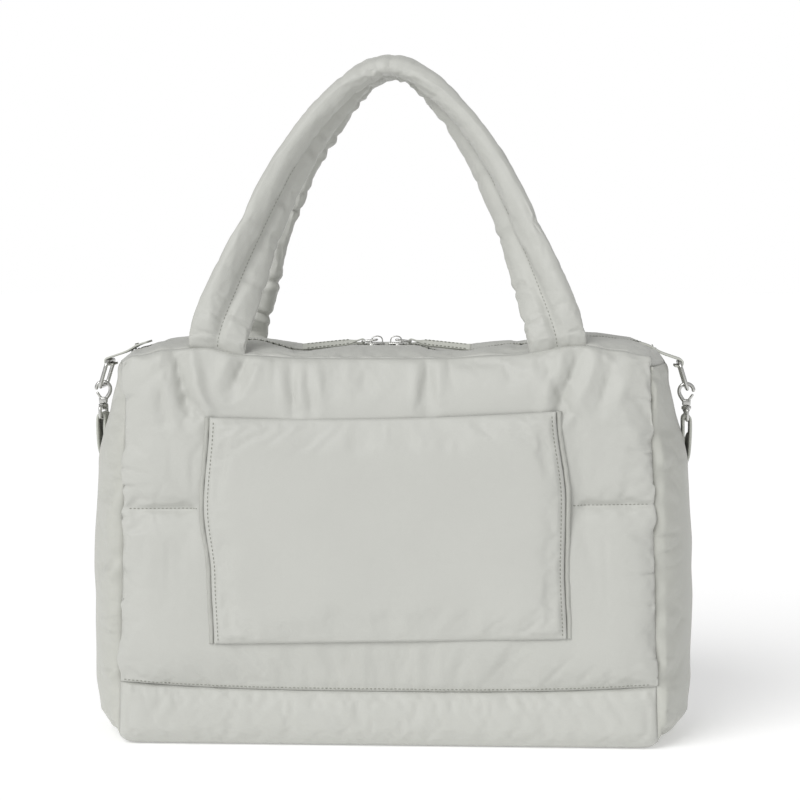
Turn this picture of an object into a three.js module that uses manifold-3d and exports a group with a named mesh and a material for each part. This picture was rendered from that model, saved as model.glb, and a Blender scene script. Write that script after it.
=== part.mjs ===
// Puffer tote bag with two padded handles, a slip pocket and a detachable shoulder strap.
// Millimetres, +Z up. The front faces -Y. The origin is under the middle of the bag, where it stands.
import * as THREE from 'three';
import { mergeVertices } from 'three/addons/utils/BufferGeometryUtils.js';
import Module from 'manifold-3d';

const wasm = await Module();
wasm.setup();

// Clearance between touching pieces
const GAP = 0.3;

// Body
const SEAM_WIDTH_TOP = 396;
const SEAM_WIDTH_BOTTOM = 412;
const SEAM_DEPTH = 156;
const SEAM_HEIGHT = 300;
const BASE_SEAM_HEIGHT = 43;
const BASE_CORNER_RADIUS = 10;
const SEAM_WALL = 3;
const LINING_DEPTH = 4;
const FRONT_PUFF = 10;
const BACK_PUFF = 8;
const BASE_PUFF = 4.5;
const STRIP_PUFF = 3;
const SIDE_BULGE = 29;
const SIDE_WALL = 9;
const TOP_END_BULGE = 14;
const MID_SEAM_HEIGHT = 185;
const MID_SEAM_TILT = 6;
const MID_SEAM_REACH = 26;
const MID_SEAM_START = 7;
const MID_SEAM_DEPTH = 0.85;
const PUFF_REACH = 34;

// Zipper
const ZIPPER_OPENING = 18;
const COIL_WIDTH = 4.6;
const COIL_THICKNESS = 2.4;
const TAPE_THICKNESS = 1;
const ZIPPER_END_INSET = 5;
const SLIDERS_MEET_X = -5;
const SLIDER_LENGTH = 12;
const SLIDER_WIDTH = 9;
const SLIDER_PLATE = 1.2;
const SLIDERS_APART = 3;
const LINK_WIRE = 1.4;
const LINK_LENGTH = 13;
const LINK_CORNER = 1.3;
const BAIL_HEIGHT = 5.4;
const BAIL_THICKNESS = 2.4;
const BAIL_HOLE = 2.6;
const RIBBON_LENGTH = 48;
const RIBBON_WIDTH = 6;
const RIBBON_THICKNESS = 2.6;
const PULL_SLOPE = 6;

// Front pocket
const POCKET_WIDTH = 268;
const POCKET_BOTTOM = 84;
const POCKET_HEIGHT = 172;
const POCKET_TILT = 6;
const POCKET_SPACE = 5;
const POCKET_EDGE = 3;
const POCKET_PUFF = 6;
const PIPING_SHOWS = 2;

// Handles
const HANDLE_SPREAD = 258;
const HANDLE_RISE = 213;
const HANDLE_WIDTH = 44;
const HANDLE_THICKNESS = 17;
const HANDLE_SEWN_THICKNESS = 4;
const HANDLE_SEAM_DENT = 0.34;

// Side hardware and shoulder strap
const WEBBING_WIDTH = 25;
const TAB_THICKNESS = 1.6;
const TAB_REST = 1.6;
const TAB_REACH = 11;
const RING_WIRE = 3;
const RING_HEIGHT = 21;
const RING_LEAN = 17;
const RING_CORNER = 4;
const HOOK_WIRE = 3;
const HOOK_OPENING = 8.2;
const HOOK_SHANK = 9;
const HOOK_BLOCK = 5;
const HOOK_BLOCK_WALL = 1.4;
const STUD_LIP = 1;
const STUD_HEAD = 1.4;
const STUD_ROOT = 0.5;
const GATE_WIRE = 2.2;
const GATE_PIN = 1.4;
const EYE_WIRE = 2.8;
const EYE_HEIGHT = 8.6;
const EYE_CORNER = 2.4;
const BOSS_HEIGHT = 2.8;
const BOSS_WALL = 2;
const STRAP_THICKNESS = 2;
const STRAP_TAIL = 20;
const STRAP_LOW_POINT = 42;
const STRAP_SIDE_DROP = 62;
const STRAP_STEPS = 70;

// Height of the top seam and of the zipper, as shares of the seam height, from left end to right end
const TOP_LINE = [
  { across: -1.0, seam: -0.027, zipper: -0.027 },
  { across: -0.95, seam: -0.005, zipper: -0.005 },
  { across: -0.85, seam: 0.01, zipper: 0.012 },
  { across: -0.7, seam: 0.017, zipper: 0.024 },
  { across: -0.52, seam: -0.003, zipper: 0.02 },
  { across: -0.32, seam: -0.01, zipper: -0.008 },
  { across: -0.12, seam: -0.01, zipper: 0.008 },
  { across: 0.07, seam: -0.01, zipper: 0.008 },
  { across: 0.2, seam: -0.009, zipper: -0.012 },
  { across: 0.45, seam: 0.0, zipper: 0.01 },
  { across: 0.74, seam: 0.025, zipper: 0.03 },
  { across: 0.89, seam: 0.012, zipper: 0.02 },
  { across: 0.96, seam: -0.001, zipper: 0.001 },
  { across: 1.0, seam: -0.027, zipper: -0.027 },
];

// How far the gusset bulges, from the floor to the top seam, as shares of the full bulge
const GUSSET_BULGE = [
  { up: 0.0, bulge: 0.0 },
  { up: 0.02, bulge: 0.55 },
  { up: 0.06, bulge: 0.82 },
  { up: 0.15, bulge: 0.93 },
  { up: 0.5, bulge: 1.0 },
  { up: 0.72, bulge: 0.95 },
  { up: 0.88, bulge: 0.68 },
  { up: 1.0, bulge: 0.48 },
];

// Soft folds of the front panel, as shares of the half width and of the panel height
const FRONT_FOLDS = [
  { fromAcross: -0.8, fromUp: 0.98, toAcross: -0.74, toUp: 0.7, wide: 0.045, deep: 0.32 },
  { fromAcross: -0.52, fromUp: 0.98, toAcross: -0.6, toUp: 0.86, wide: 0.04, deep: 0.28 },
  { fromAcross: -0.38, fromUp: 0.97, toAcross: -0.36, toUp: 0.85, wide: 0.035, deep: 0.2 },
  { fromAcross: 0.2, fromUp: 0.98, toAcross: 0.2, toUp: 0.86, wide: 0.035, deep: 0.2 },
  { fromAcross: 0.86, fromUp: 0.95, toAcross: 0.75, toUp: 0.78, wide: 0.045, deep: 0.32 },
];

// Side edges of the pocket, as shares of its half width
const POCKET_SIDES = [
  { up: 0.0, left: -0.985, right: 1.03 },
  { up: 0.3, left: -1.0, right: 1.015 },
  { up: 0.6, left: -1.04, right: 1.02 },
  { up: 1.0, left: -1.005, right: 0.965 },
];

// Middle line and twist of a handle leg, from its base to the apex
const HANDLE_LEG = [
  { out: 1.0, up: 0.0, lean: 0.0, twist: 0 },
  { out: 0.965, up: 0.085, lean: 0.08, twist: 8 },
  { out: 0.915, up: 0.175, lean: 0.19, twist: 24 },
  { out: 0.77, up: 0.4, lean: 0.46, twist: 50 },
  { out: 0.545, up: 0.68, lean: 0.74, twist: 64 },
  { out: 0.32, up: 0.868, lean: 0.9, twist: 76 },
  { out: 0.13, up: 0.975, lean: 0.98, twist: 87 },
  { out: 0.0, up: 1.0, lean: 1.0, twist: 90 },
];

// Route of the strap over the gusset: shares of the half depth and of the drop, distance off, facing
const STRAP_SIDE = [
  { back: 0.16, down: 0.12, off: 0.0, turn: 0 },
  { back: 0.42, down: 0.38, off: 0.0, turn: 8 },
  { back: 0.7, down: 0.64, off: 0.3, turn: 20 },
  { back: 0.9, down: 0.84, off: 1.0, turn: 38 },
];

// Route of the strap behind the bag: shares of the half width, of the drop and of the panel's puff, facing
const STRAP_BACK = [
  { out: 1.0, down: 0.0, puff: 0.6, turn: 62 },
  { out: 0.93, down: 0.08, puff: 0.93, turn: 82 },
  { out: 0.83, down: 0.24, puff: 1.0, turn: 90 },
  { out: 0.68, down: 0.5, puff: 1.0, turn: 90 },
  { out: 0.48, down: 0.78, puff: 1.0, turn: 90 },
  { out: 0.25, down: 0.94, puff: 1.0, turn: 90 },
  { out: 0.0, down: 1.0, puff: 1.0, turn: 90 },
];

// Turns of the rounded lower corners, from the upright face to the underside
const CORNER_TURNS = [0, 22.5, 45, 67.5, 90];

const NYLON = { color: 0xc9cbc5, roughness: 0.62, metalness: 0.0 };
const NYLON_SIDE = { color: 0xbfc1b8, roughness: 0.62, metalness: 0.0 };
const PIPING_TAPE = { color: 0xb9bbb2, roughness: 0.75, metalness: 0.0 };
const ZIPPER_TAPE = { color: 0xb4b6ae, roughness: 0.85, metalness: 0.0 };
const WEBBING = { color: 0xc2c4bc, roughness: 0.85, metalness: 0.0 };
const METAL = { color: 0xb9b9b6, roughness: 0.28, metalness: 1.0 };

// Columns that the panels and the strips share along the top seam
const TOP_COLUMNS = 26;
const TOP_CROWDING = 0.5;

const halfDepth = SEAM_DEPTH / 2;
const zipperEdge = ZIPPER_OPENING / 2;
const pocketFace = halfDepth + FRONT_PUFF;
const bag = new THREE.Group();

function addPiece(name, geometry, finish, parent = bag) {
  const mesh = new THREE.Mesh(geometry, new THREE.MeshStandardMaterial(finish));
  mesh.name = name;
  parent.add(mesh);
  return mesh;
}

const clamp = (value) => Math.min(Math.max(value, 0), 1);
const blend = (from, to, share) => from + (to - from) * share;
const ease = (share) => share * share * (3 - 2 * share);
const radians = THREE.MathUtils.degToRad;

// Value of one column of a table, eased between its rows
function readTable(rows, key, column, at) {
  let next = rows.findIndex((row) => row[key] >= at - 1e-9);
  if (next <= 0) {
    next = next === 0 ? 1 : rows.length - 1;
  }
  const low = rows[next - 1];
  const high = rows[next];
  const share = clamp((at - low[key]) / (high[key] - low[key]));
  return blend(low[column], high[column], ease(share));
}

// Rise of a padded cell: 0 on its seam, 1 at its reach, round in between
function swell(distance, reach) {
  const rest = 1 - clamp(distance / reach);
  return Math.sqrt(1 - rest * rest);
}

// Shares from 0 to 1, closer together at both ends
function crowded(count, crowding) {
  return Array.from({ length: count + 1 }, (_, step) => {
    const share = step / count;
    return share - (crowding * Math.sin(2 * Math.PI * share)) / (2 * Math.PI);
  });
}

function signedVolume(positions, index) {
  const a = new THREE.Vector3();
  const b = new THREE.Vector3();
  const c = new THREE.Vector3();
  let volume = 0;
  for (let corner = 0; corner < index.length; corner += 3) {
    a.fromArray(positions, index[corner] * 3);
    b.fromArray(positions, index[corner + 1] * 3);
    c.fromArray(positions, index[corner + 2] * 3);
    volume += a.dot(b.cross(c));
  }
  return volume;
}

// Geometry from points and triangles, with its faces turned outwards
function closedGeometry(points, index) {
  const positions = points.flatMap((point) => point.toArray());
  const triangles = signedVolume(positions, index) < 0 ? index.slice().reverse() : index;
  const geometry = new THREE.BufferGeometry();
  geometry.setAttribute('position', new THREE.Float32BufferAttribute(positions, 3));
  geometry.setIndex(triangles);
  geometry.computeVertexNormals();
  return geometry;
}

// Padded wall between an outer and an inner grid of points
function paddedWall(outer, inner) {
  const rows = outer.length;
  const columns = outer[0].length;
  const at = (layer, row, column) => (layer * rows + row) * columns + column;
  const index = [];
  const quad = (a, b, c, d) => index.push(a, b, c, a, c, d);
  for (let row = 0; row < rows - 1; row += 1) {
    for (let column = 0; column < columns - 1; column += 1) {
      quad(at(0, row, column), at(0, row, column + 1), at(0, row + 1, column + 1), at(0, row + 1, column));
      quad(at(1, row, column), at(1, row + 1, column), at(1, row + 1, column + 1), at(1, row, column + 1));
    }
  }
  for (let row = 0; row < rows - 1; row += 1) {
    const last = columns - 1;
    quad(at(0, row, 0), at(0, row + 1, 0), at(1, row + 1, 0), at(1, row, 0));
    quad(at(0, row, last), at(1, row, last), at(1, row + 1, last), at(0, row + 1, last));
  }
  for (let column = 0; column < columns - 1; column += 1) {
    const last = rows - 1;
    quad(at(0, 0, column), at(1, 0, column), at(1, 0, column + 1), at(0, 0, column + 1));
    quad(at(0, last, column), at(0, last, column + 1), at(1, last, column + 1), at(1, last, column));
  }
  return closedGeometry([...outer.flat(), ...inner.flat()], index);
}

// Solid skin over a row of rings of points, capped at both ends
function skin(rings) {
  const sides = rings[0].length;
  const points = rings.flat();
  const index = [];
  for (let ring = 0; ring < rings.length - 1; ring += 1) {
    for (let side = 0; side < sides; side += 1) {
      const next = (side + 1) % sides;
      const low = ring * sides;
      const high = low + sides;
      index.push(low + side, low + next, high + next, low + side, high + next, high + side);
    }
  }
  for (const [first, outwards] of [[0, false], [(rings.length - 1) * sides, true]]) {
    const centre = new THREE.Vector3();
    for (let side = 0; side < sides; side += 1) {
      centre.addScaledVector(points[first + side], 1 / sides);
    }
    const hub = points.push(centre) - 1;
    for (let side = 0; side < sides; side += 1) {
      const here = first + side;
      const next = first + ((side + 1) % sides);
      index.push(...(outwards ? [hub, here, next] : [hub, next, here]));
    }
  }
  return closedGeometry(points, index);
}

function toSolid(geometry) {
  const bare = geometry.clone();
  bare.deleteAttribute('normal');
  bare.deleteAttribute('uv');
  const merged = mergeVertices(bare, 1e-4);
  return new wasm.Manifold(new wasm.Mesh({
    numProp: 3,
    vertProperties: new Float32Array(merged.attributes.position.array),
    triVerts: new Uint32Array(merged.index.array),
  }));
}

function fromSolid(solid) {
  const mesh = solid.getMesh();
  const geometry = new THREE.BufferGeometry();
  geometry.setAttribute('position', new THREE.Float32BufferAttribute(mesh.vertProperties, 3));
  geometry.setIndex(Array.from(mesh.triVerts));
  geometry.computeVertexNormals();
  return geometry;
}

// Union of the added geometries, less the cut ones
function joined(added, cut = []) {
  const [first, ...others] = added.map(toSolid);
  const whole = others.reduce((sum, solid) => sum.add(solid), first);
  return fromSolid(cut.map(toSolid).reduce((rest, solid) => rest.subtract(solid), whole));
}

// Tube with a round section along a curve
function tube(curve, steps, radius, sides) {
  const points = Array.from({ length: sides }, (_, side) => {
    const turn = (2 * Math.PI * side) / sides;
    return new THREE.Vector2(radius * Math.cos(turn), radius * Math.sin(turn));
  });
  const section = new THREE.Shape(points);
  return new THREE.ExtrudeGeometry(section, { steps, extrudePath: curve, bevelEnabled: false });
}

// Wire ring in the XY plane with rounded corners and its middle at the origin
function wireRing(length, width, corner, wire, sides, segments) {
  const geometry = new THREE.TorusGeometry(corner, wire / 2, sides, segments);
  const position = geometry.attributes.position;
  const away = (value, reach) => (Math.abs(value) < wire * 1e-3 ? 0 : Math.sign(value) * reach);
  for (let vertex = 0; vertex < position.count; vertex += 1) {
    const x = position.getX(vertex);
    const y = position.getY(vertex);
    position.setX(vertex, x + away(x, (length - wire) / 2 - corner));
    position.setY(vertex, y + away(y, (width - wire) / 2 - corner));
  }
  return geometry;
}

// Outline of the body

const topShare = (across, column) => readTable(TOP_LINE, 'across', column, across);
const topSeamHeight = (across) => SEAM_HEIGHT * (1 + topShare(across, 'seam'));
const zipperHeight = (across) => SEAM_HEIGHT * (1 + topShare(across, 'zipper'));
const endHeight = topSeamHeight(1);

function seamHalfWidth(height) {
  return blend(SEAM_WIDTH_BOTTOM, SEAM_WIDTH_TOP, height / SEAM_HEIGHT) / 2;
}

const baseSeamHeight = (across) => BASE_SEAM_HEIGHT * (1 + 0.14 * Math.abs(across) ** 3);

// Half width of the top at a depth, where the strips end on the gussets
function topEndX(depthShare) {
  return seamHalfWidth(endHeight) + TOP_END_BULGE * (1 - depthShare * depthShare);
}

// Panels between the base band and the top seam

function foldDepth(across, up, folds) {
  return folds.reduce((depth, fold) => {
    const alongX = fold.toAcross - fold.fromAcross;
    const alongUp = fold.toUp - fold.fromUp;
    const travelled = (across - fold.fromAcross) * alongX + (up - fold.fromUp) * alongUp;
    const share = clamp(travelled / (alongX * alongX + alongUp * alongUp));
    const missX = across - fold.fromAcross - alongX * share;
    const missUp = (up - fold.fromUp - alongUp * share) * 0.6;
    const miss = Math.hypot(missX, missUp) / fold.wide;
    return depth + fold.deep * Math.exp(-miss * miss);
  }, 0);
}

// Groove of the horizontal quilting seam at a height from it, only outside the given half width
function midSeamGroove(x, fromSeam, fromX) {
  const start = ease(clamp((Math.abs(x) - fromX) / MID_SEAM_START));
  return MID_SEAM_DEPTH * start * (1 - swell(Math.abs(fromSeam), MID_SEAM_REACH));
}

function panel(side, puff, columns, rows, plateau, folds) {
  const outer = [];
  const inner = [];
  const acrossShares = crowded(columns, TOP_CROWDING);
  const lower = crowded(rows, 0.5).map((share) => [0, share]);
  const upper = crowded(rows, 0.5).slice(1).map((share) => [1, share]);
  for (const [cell, rowShare] of [...lower, ...upper]) {
    const outerRow = [];
    const innerRow = [];
    for (const share of acrossShares) {
      const across = 2 * share - 1;
      const bottom = baseSeamHeight(across) + GAP / 2;
      const top = topSeamHeight(across) - GAP / 2;
      const seam = MID_SEAM_HEIGHT + (MID_SEAM_TILT * across) / 2;
      const height = cell ? blend(seam, top, rowShare) : blend(bottom, seam, rowShare);
      const up = (height - bottom) / (top - bottom);
      const seamX = seamHalfWidth(height) - GAP * 0.75;
      const x = across * seamX;
      const rise = swell(seamX - Math.abs(x), PUFF_REACH)
        * swell(height - bottom, PUFF_REACH)
        * swell(top - height, PUFF_REACH)
        * (1 - midSeamGroove(x, height - seam, plateau))
        * (1 - foldDepth(across, up, folds));
      const atSide = Math.sign(across) * Math.abs(across) ** 12;
      const atTop = up ** 12;
      const fromEdge = Math.min(seamX - Math.abs(x), height - bottom, top - height);
      const wall = blend(SEAM_WALL, LINING_DEPTH, swell(fromEdge, PUFF_REACH));
      outerRow.push(new THREE.Vector3(x, side * (halfDepth + puff * rise), height));
      innerRow.push(new THREE.Vector3(
        x - SEAM_WALL * atSide,
        side * (halfDepth - wall),
        height - SEAM_WALL * atTop,
      ));
    }
    outer.push(outerRow);
    inner.push(innerRow);
  }
  return paddedWall(outer, inner);
}

// Base band

// Body's lower outline seen from the side, from the front seam to the back seam, with outward normals
function baseOutline(seam) {
  const radius = BASE_CORNER_RADIUS;
  const cornerTop = BASE_PUFF + radius;
  const flat = halfDepth - radius;
  const half = [];
  for (const share of [0, 0.25, 0.5, 0.75]) {
    half.push({
      y: halfDepth,
      z: blend(seam, cornerTop, share),
      normalY: 1,
      normalZ: 0,
      fromSeam: (seam - cornerTop) * share,
    });
  }
  for (const turn of CORNER_TURNS) {
    half.push({
      y: flat + radius * Math.cos(radians(turn)),
      z: cornerTop - radius * Math.sin(radians(turn)),
      normalY: Math.cos(radians(turn)),
      normalZ: -Math.sin(radians(turn)),
      fromSeam: seam - cornerTop + radius * radians(turn),
    });
  }
  half.push({ y: flat * 0.45, z: BASE_PUFF, normalY: 0, normalZ: -1, fromSeam: SEAM_DEPTH });
  const middle = { y: 0, z: BASE_PUFF, normalY: 0, normalZ: -1, fromSeam: SEAM_DEPTH };
  const front = half.map((place) => ({ ...place, y: -place.y, normalY: -place.normalY }));
  return [...front, middle, ...half.reverse()];
}

function baseBand(columns) {
  const outer = [];
  const inner = [];
  for (const share of crowded(columns, 0.5)) {
    const outerRow = [];
    const innerRow = [];
    const across = 2 * share - 1;
    for (const place of baseOutline(baseSeamHeight(across) - GAP / 2)) {
      const seamX = seamHalfWidth(place.z) - GAP * 0.75;
      const x = across * seamX;
      const rise = swell(seamX - Math.abs(x), PUFF_REACH * 0.5) * swell(place.fromSeam, PUFF_REACH * 0.5);
      const atSide = Math.sign(across) * Math.abs(across) ** 12;
      outerRow.push(new THREE.Vector3(
        x,
        place.y + place.normalY * BASE_PUFF * rise,
        place.z + place.normalZ * BASE_PUFF * rise,
      ));
      innerRow.push(new THREE.Vector3(
        x - SEAM_WALL * atSide,
        place.y - place.normalY * SEAM_WALL,
        place.z - place.normalZ * SEAM_WALL,
      ));
    }
    outer.push(outerRow);
    inner.push(innerRow);
  }
  return paddedWall(outer, inner);
}

// Gussets

// Half width of the body at a depth share from -1 to 1 and a height
function gussetX(depthShare, height) {
  const up = (height - BASE_PUFF) / (endHeight - BASE_PUFF);
  const round = clamp(1 - depthShare * depthShare);
  const bulge = SIDE_BULGE * readTable(GUSSET_BULGE, 'up', 'bulge', clamp(up)) * round ** 0.6;
  const atTop = TOP_END_BULGE * round;
  return seamHalfWidth(height) + blend(bulge, atTop, ease(clamp((up - 0.8) / 0.2)));
}

function gusset(side, columns, rows) {
  const outer = [];
  const inner = [];
  const cornerTop = BASE_PUFF + BASE_CORNER_RADIUS;
  const top = endHeight - 2 * GAP;
  const corner = CORNER_TURNS.slice().reverse().map((turn) => ({
    height: cornerTop - BASE_CORNER_RADIUS * Math.sin(radians(turn)),
    halfRow: halfDepth - BASE_CORNER_RADIUS * (1 - Math.cos(radians(turn))),
    turn: radians(turn),
  }));
  const above = crowded(rows, 0.3).slice(1).map((share) => (
    { height: blend(cornerTop, top, share), halfRow: halfDepth, turn: 0 }
  ));
  for (const { height, halfRow, turn } of [...corner, ...above]) {
    const outerRow = [];
    const innerRow = [];
    const isBottom = height <= BASE_PUFF + 1e-6 ? 1 : 0;
    const up = (height - BASE_PUFF) / (top - BASE_PUFF);
    for (const share of crowded(columns, 0.45)) {
      const depthShare = 2 * share - 1;
      const x = gussetX(depthShare, height);
      const atEdge = Math.abs(depthShare) ** 12;
      const atTop = up ** 12;
      const inset = GAP * 0.75;
      const fromEdge = Math.min(halfRow * (1 - Math.abs(depthShare)), height - BASE_PUFF, top - height);
      const wall = blend(SEAM_WALL, SIDE_WALL, swell(fromEdge, PUFF_REACH));
      const inwards = Math.sign(depthShare) * atEdge * Math.cos(turn);
      const lift = Math.max(atEdge * Math.sin(turn), isBottom);
      const y = depthShare * halfRow - inset * inwards;
      const z = height + inset * lift;
      outerRow.push(new THREE.Vector3(side * x, y, z));
      const innerY = y - SEAM_WALL * inwards;
      const innerZ = z + SEAM_WALL * (lift - atTop);
      innerRow.push(new THREE.Vector3(side * (x - wall), innerY, innerZ));
    }
    outer.push(outerRow);
    inner.push(innerRow);
  }
  return paddedWall(outer, inner);
}

// Top strips between the top seams and the zipper

function topSurface(across, inwards) {
  const seam = topSeamHeight(across);
  const zipper = zipperHeight(across);
  const width = halfDepth - zipperEdge;
  const fromEdge = Math.min(inwards, 1 - inwards) * width;
  const atEnd = swell(1 - Math.abs(across), 0.12);
  return blend(seam, zipper, inwards) + STRIP_PUFF * swell(fromEdge, width / 2) * atEnd;
}

function topStrip(side, columns, rows) {
  const outer = [];
  const inner = [];
  for (const share of crowded(columns, TOP_CROWDING)) {
    const outerRow = [];
    const innerRow = [];
    const across = 2 * share - 1;
    for (const inwards of crowded(rows, 0.3)) {
      const depth = blend(halfDepth, zipperEdge, inwards);
      const x = across * (topEndX(depth / halfDepth) - GAP * 0.35);
      const height = topSurface(across, inwards) + GAP * 0.35;
      const atSide = Math.sign(across) * Math.abs(across) ** 30;
      const atSeam = (1 - inwards) ** 8;
      const rise = STRIP_PUFF * swell(Math.min(inwards, 1 - inwards), 0.5);
      const wall = SEAM_WALL + rise * (1 - Math.abs(across) ** 30);
      outerRow.push(new THREE.Vector3(x, side * (depth - GAP * 0.35 * atSeam), height));
      innerRow.push(new THREE.Vector3(
        x - SEAM_WALL * atSide,
        side * (depth - (SEAM_WALL + GAP * 0.35) * atSeam),
        height - wall,
      ));
    }
    outer.push(outerRow);
    inner.push(innerRow);
  }
  return paddedWall(outer, inner);
}

// Strip with a square section along the zipper
function zipperStrip(fromX, toX, nearY, farY, bottom, top, steps) {
  const halfTop = topEndX(0);
  const rings = Array.from({ length: steps + 1 }, (_, step) => {
    const x = blend(fromX, toX, step / steps);
    const height = zipperHeight(x / halfTop);
    return [
      new THREE.Vector3(x, nearY, height + bottom),
      new THREE.Vector3(x, farY, height + bottom),
      new THREE.Vector3(x, farY, height + top),
      new THREE.Vector3(x, nearY, height + top),
    ];
  });
  return skin(rings);
}

addPiece('front_panel', panel(-1, FRONT_PUFF, TOP_COLUMNS, 7, POCKET_WIDTH / 2 + 8, FRONT_FOLDS), NYLON);
addPiece('back_panel', panel(1, BACK_PUFF, TOP_COLUMNS, 4, -MID_SEAM_START, []), NYLON);
addPiece('base_band', baseBand(12), NYLON);
addPiece('gusset_left', gusset(-1, 10, 10), NYLON_SIDE);
addPiece('gusset_right', gusset(1, 10, 10), NYLON_SIDE);
addPiece('top_strip_front', topStrip(-1, TOP_COLUMNS, 4), NYLON);
addPiece('top_strip_back', topStrip(1, TOP_COLUMNS, 4), NYLON);

// Zipper

const zipperEndX = topEndX(0) - ZIPPER_END_INSET;
const coilEdge = COIL_WIDTH / 2;
const tapeFrom = coilEdge + GAP;
const tapeTo = zipperEdge - GAP;
for (const [name, side] of [['zipper_tape_front', -1], ['zipper_tape_back', 1]]) {
  const halfTape = TAPE_THICKNESS / 2;
  const tape = zipperStrip(-zipperEndX, zipperEndX, side * tapeFrom, side * tapeTo, -halfTape, halfTape, 20);
  addPiece(name, tape, ZIPPER_TAPE);
}

const sliderOut = (SLIDERS_APART + SLIDER_LENGTH) / 2;
const postLength = SLIDER_LENGTH * 0.22;
const coilStops = SLIDERS_APART / 2 + postLength + GAP * 2;
for (const [name, side] of [['zipper_coil_left', -1], ['zipper_coil_right', 1]]) {
  const halfCoil = COIL_THICKNESS / 2;
  const from = SLIDERS_MEET_X + side * coilStops;
  const coil = zipperStrip(from, side * zipperEndX, -coilEdge, coilEdge, -halfCoil, halfCoil, 15);
  addPiece(name, coil, ZIPPER_TAPE);
}

// Slider with its nose towards -X and its middle at the origin
function sliderBody() {
  const half = SLIDER_LENGTH / 2;
  const mouth = COIL_THICKNESS / 2 + GAP;
  const outside = mouth + SLIDER_PLATE;
  const plates = [-1, 1].map((face) => {
    const plate = new THREE.BoxGeometry(SLIDER_LENGTH, SLIDER_PLATE, SLIDER_WIDTH);
    return plate.translate(0, face * (mouth + SLIDER_PLATE / 2), 0);
  });
  const post = new THREE.BoxGeometry(postLength, 2 * mouth + SLIDER_PLATE, COIL_WIDTH);
  post.translate(postLength / 2 - half, 0, 0);
  const bail = new THREE.Shape();
  const foot = BAIL_HEIGHT * 0.75;
  bail.moveTo(-foot, mouth + SLIDER_PLATE / 2);
  bail.lineTo(foot, mouth + SLIDER_PLATE / 2);
  bail.lineTo(foot, outside + BAIL_HEIGHT * 0.45);
  bail.lineTo(foot * 0.5, outside + BAIL_HEIGHT);
  bail.lineTo(-foot * 0.5, outside + BAIL_HEIGHT);
  bail.lineTo(-foot, outside + BAIL_HEIGHT * 0.45);
  bail.closePath();
  const eye = new THREE.Path();
  eye.absarc(0, bailCentre, BAIL_HOLE / 2, 0, 2 * Math.PI, true);
  bail.holes.push(eye);
  const arch = new THREE.ExtrudeGeometry(bail, {
    bevelEnabled: false,
    curveSegments: 5,
    depth: BAIL_THICKNESS,
  });
  arch.translate(0, 0, -BAIL_THICKNESS / 2);
  return joined([...plates, post, arch]).rotateX(Math.PI / 2);
}

const sliderTop = COIL_THICKNESS / 2 + GAP + SLIDER_PLATE;
const bailCentre = sliderTop + LINK_WIRE / 2 + BAIL_HOLE / 2 + GAP;
const linkWidth = RIBBON_WIDTH + 2 * (GAP + LINK_CORNER) + LINK_WIRE;

// Ribbon pull along +X, folded round the link's far end, with the link's pivot at the origin
function pullRibbon() {
  const start = LINK_LENGTH - LINK_WIRE;
  const loopOuter = LINK_WIRE / 2 + GAP + RIBBON_THICKNESS * 0.4;
  const neck = start + loopOuter + RIBBON_THICKNESS;
  const half = RIBBON_THICKNESS / 2;
  const outline = new THREE.Shape();
  outline.moveTo(neck, half);
  outline.lineTo(start + RIBBON_LENGTH, half);
  outline.lineTo(start + RIBBON_LENGTH, -half);
  outline.lineTo(neck, -half);
  outline.absarc(start, 0, loopOuter, -Math.PI / 2, Math.PI / 2, true);
  outline.closePath();
  const hole = new THREE.Path();
  hole.absarc(start, 0, LINK_WIRE / 2 + GAP, 0, 2 * Math.PI, false);
  outline.holes.push(hole);
  const loop = new THREE.ExtrudeGeometry(outline, {
    bevelEnabled: false,
    curveSegments: 6,
    depth: RIBBON_WIDTH,
  });
  loop.translate(0, 0, -RIBBON_WIDTH / 2);
  return loop.rotateX(Math.PI / 2);
}

for (const [name, side] of [['left', -1], ['right', 1]]) {
  const x = SLIDERS_MEET_X + side * sliderOut;
  const seat = new THREE.Group();
  seat.position.set(x, 0, zipperHeight(x / topEndX(0)));
  seat.rotation.z = side < 0 ? Math.PI : 0;
  bag.add(seat);
  addPiece(`slider_${name}`, sliderBody(), METAL, seat);
  const pull = new THREE.Group();
  pull.position.z = bailCentre;
  pull.rotation.y = radians(PULL_SLOPE);
  seat.add(pull);
  const link = wireRing(LINK_LENGTH, linkWidth, LINK_CORNER, LINK_WIRE, 6, 16);
  link.translate(LINK_LENGTH / 2 - LINK_WIRE / 2, 0, 0);
  addPiece(`pull_link_${name}`, link, METAL, pull);
  addPiece(`pull_ribbon_${name}`, pullRibbon(), WEBBING, pull);
}

// Front pocket

const pocketInner = pocketFace + POCKET_SPACE;
const pocketSide = (up, column) => (POCKET_WIDTH / 2) * readTable(POCKET_SIDES, 'up', column, up);

function pocketHeight(x, up) {
  const tilt = (POCKET_TILT * x) / POCKET_WIDTH;
  const dip = 0.02 * (1 - (2 * x / POCKET_WIDTH) ** 2) * ease(up);
  return POCKET_BOTTOM + tilt + POCKET_HEIGHT * (up - dip);
}

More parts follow.
